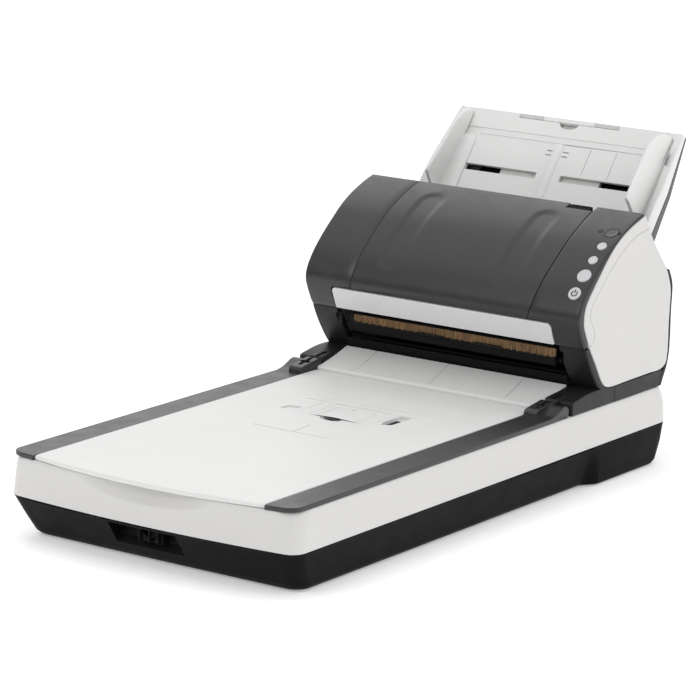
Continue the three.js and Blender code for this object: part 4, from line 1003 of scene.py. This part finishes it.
def build_chute():
    def sec(s):
        X, N = half_at(s) - 0.25, rim_at(s)
        return [(-X, -1.2), (X, -1.2), (X, N - 0.9), (X - 0.25, N - 0.35), (X - 0.9, N), (X - 1.6, N - 0.1), (X - 2.2, N - 0.5), (114.4, 2.25), (113.2, 2), (-113.2, 2), (-114.4, 2.25),
                (-X + 2.2, N - 0.5), (-X + 1.6, N - 0.1), (-X + 0.9, N), (-X + 0.25, N - 0.35), (-X, N - 0.9)]
    o = loftS("chute_tray_v", SS, sec)
    add = [cbox("a1", -90, 90, -26, -15, 1, 2.6), cbox("a2", -104, 104, -20, -0.3, 1, 3.2)]
    rib = loft("a3", [[(x, *C(s, n)) for x, n in [(-4.8, 1), (-4.5, 2.9), (-3.6, 3.7), (-2.2, 4.1), (0, 4.2), (2.2, 4.1), (3.6, 3.7), (4.5, 2.9), (4.8, 1)]] for s in (-118, -44, -38, -34, -30)]
               + [[(x * f, *C(s, 1 + (n - 1) * g)) for x, n in [(-4.8, 1), (-4.5, 2.9), (-3.6, 3.7), (-2.2, 4.1), (0, 4.2), (2.2, 4.1), (3.6, 3.7), (4.5, 2.9), (4.8, 1)]] for s, f, g in ((-28.4, 0.92, 0.94), (-27.2, 0.75, 0.8), (-26.5, 0.5, 0.55))])
    boolean(o, add + [rib], "UNION")
    cuts = [cprism("c0", [(-54.6, -5), (54.6, -5), (54.6, 6), (-54.6, 6)], -6, 9)]
    for k in (1, -1):
        a = (13, 91) if k > 0 else (-91, -13)
        b = (28, 100) if k > 0 else (-100, -28)
        cuts += [cbox("c1", *a, -64.5, -58, -5, 6, 0.6), cbox("c2", *b, -108.2, -103.8, -5, 6, 0.6)]
        # slits beside the rib
        for s0, w in ((-34.6, 1.0), (-39.0, 1.0)):
            x0, x1 = (5.6, 12) if k > 0 else (-12, -5.6)
            cuts.append(cbox("c3", x0, x1, s0, s0 + w, -3, 6, 0.35))
        # groove line beside the guide, along the chute
        x0 = 115.2 * k
        cuts.append(cprism("c4", [(x0 - 0.25, -84), (x0 + 0.25, -84), (x0 + 0.25 - 1.6 * k, -7), (x0 - 0.25 - 1.6 * k, -7)], 2.0, 9))
        # fine moulding lines on the paper surface
        for xx in ((34, 62) if k > 0 else ()):
            cuts.append(cprism("c5", [(xx * k - 0.12, -56), (xx * k + 0.12, -56), (xx * k + 0.12, -28), (xx * k - 0.12, -28)], 1.9, 4))
    fr = [(1 + 10.5 * math.cos(a), -4.9 - 6.0 * math.sin(a)) for a in np.linspace(0, math.pi, 20)]
    cuts.append(cprism("c6", fr, -3.4, 9))
    boolean(o, cuts)
    done(o, "base", M["chute"], ["chute_tray"], 0.28, 2, 30)

    def back(s):
        return -4.2 - 0.066 * -s

    def sec2(s):
        X, N, B = half_at(s), -1.5, back(s)
        return [(-X, N), (-X, B + 1.6), (-X + 0.5, B + 0.5), (-X + 1.7, B), (-66, -11.9), (-62, -12.2), (62, -12.2), (66, -11.9), (X - 1.7, B), (X - 0.5, B + 0.5), (X, B + 1.6), (X, N), (X - 2.1, N), (X - 2.1, B + 2.4), (62, -9.9), (-62, -9.9), (-X + 2.1, B + 2.4), (-X + 2.1, N)]
    sh = loftS("chute_shell_v", [-0.3] + SS[1:], sec2)
    # back detail: long grooves cut into the rear face
    cuts = []
    for x in (-96, -84, 84, 96):
        cuts.append(loft("bk", [[(x - 1.0, *C(s, n)) for s, n in ((-14, -3), (-110, -8), (-110, -20), (-14, -20))], [(x + 1.0, *C(s, n)) for s, n in ((-14, -3), (-110, -8), (-110, -20), (-14, -20))]]))
    g = []
    for x in (-96, -84, 84, 96):
        ring0 = []
        for xx in (x - 1.1, x + 1.1):
            def bn(s, X=None):
                Xh = half_at(s) - 1.7
                t = (abs(xx) - 66) / (Xh - 66)
                return -11.9 + (back(s) + 11.9) * t
            ring0.append([(xx, *C(s, bn(s) + 0.9)) for s in (-18, -40, -60, -85, -106)] + [(xx, *C(s, bn(s) - 3)) for s in (-106, -85, -60, -40, -18)])
        g.append(loft("bg", ring0))
    for c in cuts:
        bpy.data.objects.remove(c)
    boolean(sh, g)
    done(sh, "base", M["shell"], ["chute_shell"], 0.35, 2, 30)
    bk = cbox("slot_backing_v", -45, 52.5, -70, -52, -9.9, -7.8)
    done(bk, "base", M["grey"], (), 0.3, 2)
    # black plates in the hollow behind the outer halves of the guide slots: painted shade seen through the slot
    # openings
    dk = [cbox("slot_painted_shade_v%d" % i, *x, -70, -52, -9.6, -8.6) for i, x in enumerate(((52.7, 96), (-96, -45.2)))]
    for d_ in dk:
        done(d_, "base", M["inner"], (), 0.2, 1)
    # side guides: crowned rails with a lead-in end
    for k in (1, -1):
        def gsec(s):
            e = sstep(-27, -35, s)
            top = 5.2 * e + 2.9 * (1 - e)
            xi = 91.2 + 3.5 * (1 - sstep(-27.0, -33, s))
            xo = 112.8
            q = [(xi, 2.35), (xi, 2.9), (xi + 0.5, 3.3), (xi + 3.0, 3.3 + (top - 3.3) * 0.7), (xi + 6.5, top), (xo - 4.5, top), (xo - 1.6, top - 0.1), (xo - 0.4, top - 0.6), (xo, top - 1.6 if top > 4 else 2.7), (xo, 2.35)]
            return [(x * k, n) for x, n in q]
        o = loftS("guide_v_%s" % ("right" if k > 0 else "left"), [-26.9, -27.4, -28.4, -29.6, -31, -33, -36, -45, -60, -80, -100, -118, -120.3, -121], gsec)
        # tall crowned wall that holds the paper edge
        W = np.array([(-5, 104.6, 107.5, 8.2), (-6.2, 104.4, 107.4, 10.2), (-7.5, 104.3, 107.2, 12.0), (-9, 104.2, 107, 13.9), (-11, 104.1, 106.7, 16.0), (-14, 104, 106.2, 18.4), (-17, 104, 106.0, 20.4), (-20, 104, 105.8, 22.0),
                      (-24, 104.3, 105.6, 23.8), (-28, 104.8, 105.6, 25.1), (-34, 105.6, 105.9, 26.1), (-44, 107.2, 106.4, 27.4), (-54, 108.4, 107, 28.4), (-70, 109.8, 108.0, 30.6), (-80, 110.5, 108.7, 31.9), (-84, 110.7, 108.9, 32.3), (-85.4, 110.8, 109.1, 31.9), (-86.3, 110.85, 109.3, 30.4), (-87.2, 110.9, 109.5, 27.8), (-89, 111, 109.8, 22.6), (-90.9, 111, 110, 17.8)])
        rings = []
        for (s_, xi, xr, N) in W:
            q = [(xi + 0.4, 3.45), (xi, 3.9)]
            q += [(xi + (xr - 1.7 - xi) * f + 0.25 * math.sin(math.pi * f), 3.9 + (N - 1.7 - 3.9) * f) for f in (0.2, 0.4, 0.6, 0.8, 1.0)]
            q += [(xr - 1.4, N - 0.8), (xr - 0.7, N - 0.2), (xr, N), (xr + 0.9, N - 0.25), (xr + 1.7, N - 1.1)]
            q += [(xr + 1.9 + (112.7 - xr - 1.9) * f ** 0.8, N - 1.8 + (4.2 - N + 1.8) * f) for f in (0.0, 0.2, 0.4, 0.6, 0.8, 1.0)]
            q += [(112.5, 3.45)]
            rings.append([(x * k, *C(s_, n)) for x, n in q])
        wl = loft("guide_wall", rings)
        boolean(o, [wl], "UNION")
        sg = lambda a, b: (a, b) if k > 0 else (-b, -a)
        rack = [cbox("g1", *sg(94, 97.6), -107.6, -104.4, -8.2, 3)]
        r0 = (-113.4, -110.4) if k > 0 else (-101.6, -98.6)
        jn = (-113.4, -104.4) if k > 0 else (-107.6, -98.6)
        rack += [cbox("g2", *sg(94, 97.6), jn[0], jn[1], -8.2, -5.2), cbox("g3", *sg(-12, 97.6), r0[0], r0[1], -8.2, -5.2)]
        boolean(o, rack, "UNION")
        done(o, "right_guide" if k > 0 else "left_guide", M["chute"], ["guide_right" if k > 0 else "guide_left"], 0.3, 2, 40, wfn=lambda c, e: 0 if c[2] > 236 else None)
    # pull-out extensions
    lo = [cbox("e1", -54.2, 54.2, -94, -0.4, -4.4, -1.8, 1.5), cbox("e2", -54.2, 54.2, -4.6, -0.4, -2.4, 3.2, 0.4)]
    e = lo[0]; boolean(e, [lo[1]], "UNION"); boolean(e, [cbox("e3", -28.4, 28.4, -5, 1, -6, 5)])
    boolean(e, [cbox("eg%d" % i, -20, 20, -30 - 6 * i, -28.6 - 6 * i, -2.4, 0, 0.6) for i in range(6)])
    e.name = "extension_low_v"
    # lower extension in the darker copy of the pale plastic: painted shade
    done(e, "extension_1", M["ext"], ["extension_lower"], 0.35, 3, 30)
    e = cbox("extension_up_v", -50, 50, -92, -5.4, -7.2, -4.8, 1.5)
    boolean(e, [cbox("e4", -28, 28, -5.8, -0.2, -7.2, -4.8)], "UNION")
    boolean(e, [cbox("e5", -28, 28, -4.6, -0.2, -6.2, 3.2, 0.4)], "UNION")
    boolean(e, [cbox("eh%d" % i, -20, 20, -30 - 6 * i, -28.6 - 6 * i, -5.4, -4, 0.6) for i in range(6)])
    done(e, "extension_2", M["chute"], ["extension_upper"], 0.35, 3, 30)


build_chute()


def build_inside():
    def roller(name, c, r, shaft, half, wheels, mat, body, node):
        prof = [(0, -half), (shaft - 0.3, -half), (shaft, -half + 0.4)]
        for a, b in wheels:
            prof += [(shaft, a - 0.01), (r - 1.0, a), (r - 0.35, a + 0.3), (r, a + 0.8)]
            k = a + 1.4
            while k < b - 1.8:
                prof += [(r, k), (r - 0.35, k + 0.25), (r - 0.35, k + 0.65), (r, k + 0.9)]
                k += 1.8
            prof += [(r, b - 0.8), (r - 0.35, b - 0.3), (r - 1.0, b), (shaft, b + 0.01)]
        prof += [(shaft, half - 0.4), (shaft - 0.3, half), (0, half)]
        o = lathe(name, prof, (0, c[0], c[1]), (1, 0, 0), 48)
        done(o, body, mat, [node], 0, ang=40)
    roller("pick_v", PICK, 11, 3, 117, [(-32, -14), (14, 32)], M["rubber"], "pick", "pick_roller")
    roller("feed_v", FEED, 10, 3, 117, [(-88, -72), (-40, -24), (24, 40), (72, 88)], M["rubber"], "feed", "feed_roller")
    roller("eject_v", EJECT, 8.5, 3, 117, [(-64, -52), (-28, -16), (16, 28), (52, 64)], M["rubber"], "eject", "eject_roller")
    roller("brake_v", BRAKE, 9, 2.5, 40, [(-32, -14), (14, 32)], M["rubber"], "brake", "brake_roller")
    roller("idler_v", IDLER, 5.2, 1.8, 88, [(-64, -52), (-28, -16), (16, 28), (52, 64)], M["inner"], "idlers", "eject_idlers")
    keep = {
        "platen_glass": "glass", "carriage_rail": "steel", "scan_carriage": "inner", "drive_belt": "rubber", "drive_pulley": "engine", "idler_pulley": "engine",
        "carriage_motor": "steel", "upper_paper_guide": "inner", "lower_paper_guide": "inner", "cover_pivot_shaft": "inner", "upper_image_sensor": "grey",
        "lower_image_sensor": "grey", "side_frame_right": "steel", "side_frame_left": "steel", "adf_motor": "steel", "main_board": "pcb", "usb_port": "steel",
        "dc_inlet": "inner", "guide_pinion": "engine",
    }
    for n_, o in NODES.items():
        mat = M[keep.get(n_, "inner")]
        o.data.materials.clear() if False else None
        if len(o.material_slots) == 0:
            continue
        for sl in o.material_slots:
            sl.link = "OBJECT"
            sl.material = mat
        if n_ in keep:
            w = o.modifiers.new("weld", "WELD"); w.merge_threshold = 1e-5
            if n_ not in ("drive_belt",):
                b = o.modifiers.new("bev", "BEVEL"); b.width = 0.0003; b.segments = 2; b.limit_method = "ANGLE"; b.angle_limit = math.radians(32); b.harden_normals = True; b.use_clamp_overlap = True


build_inside()
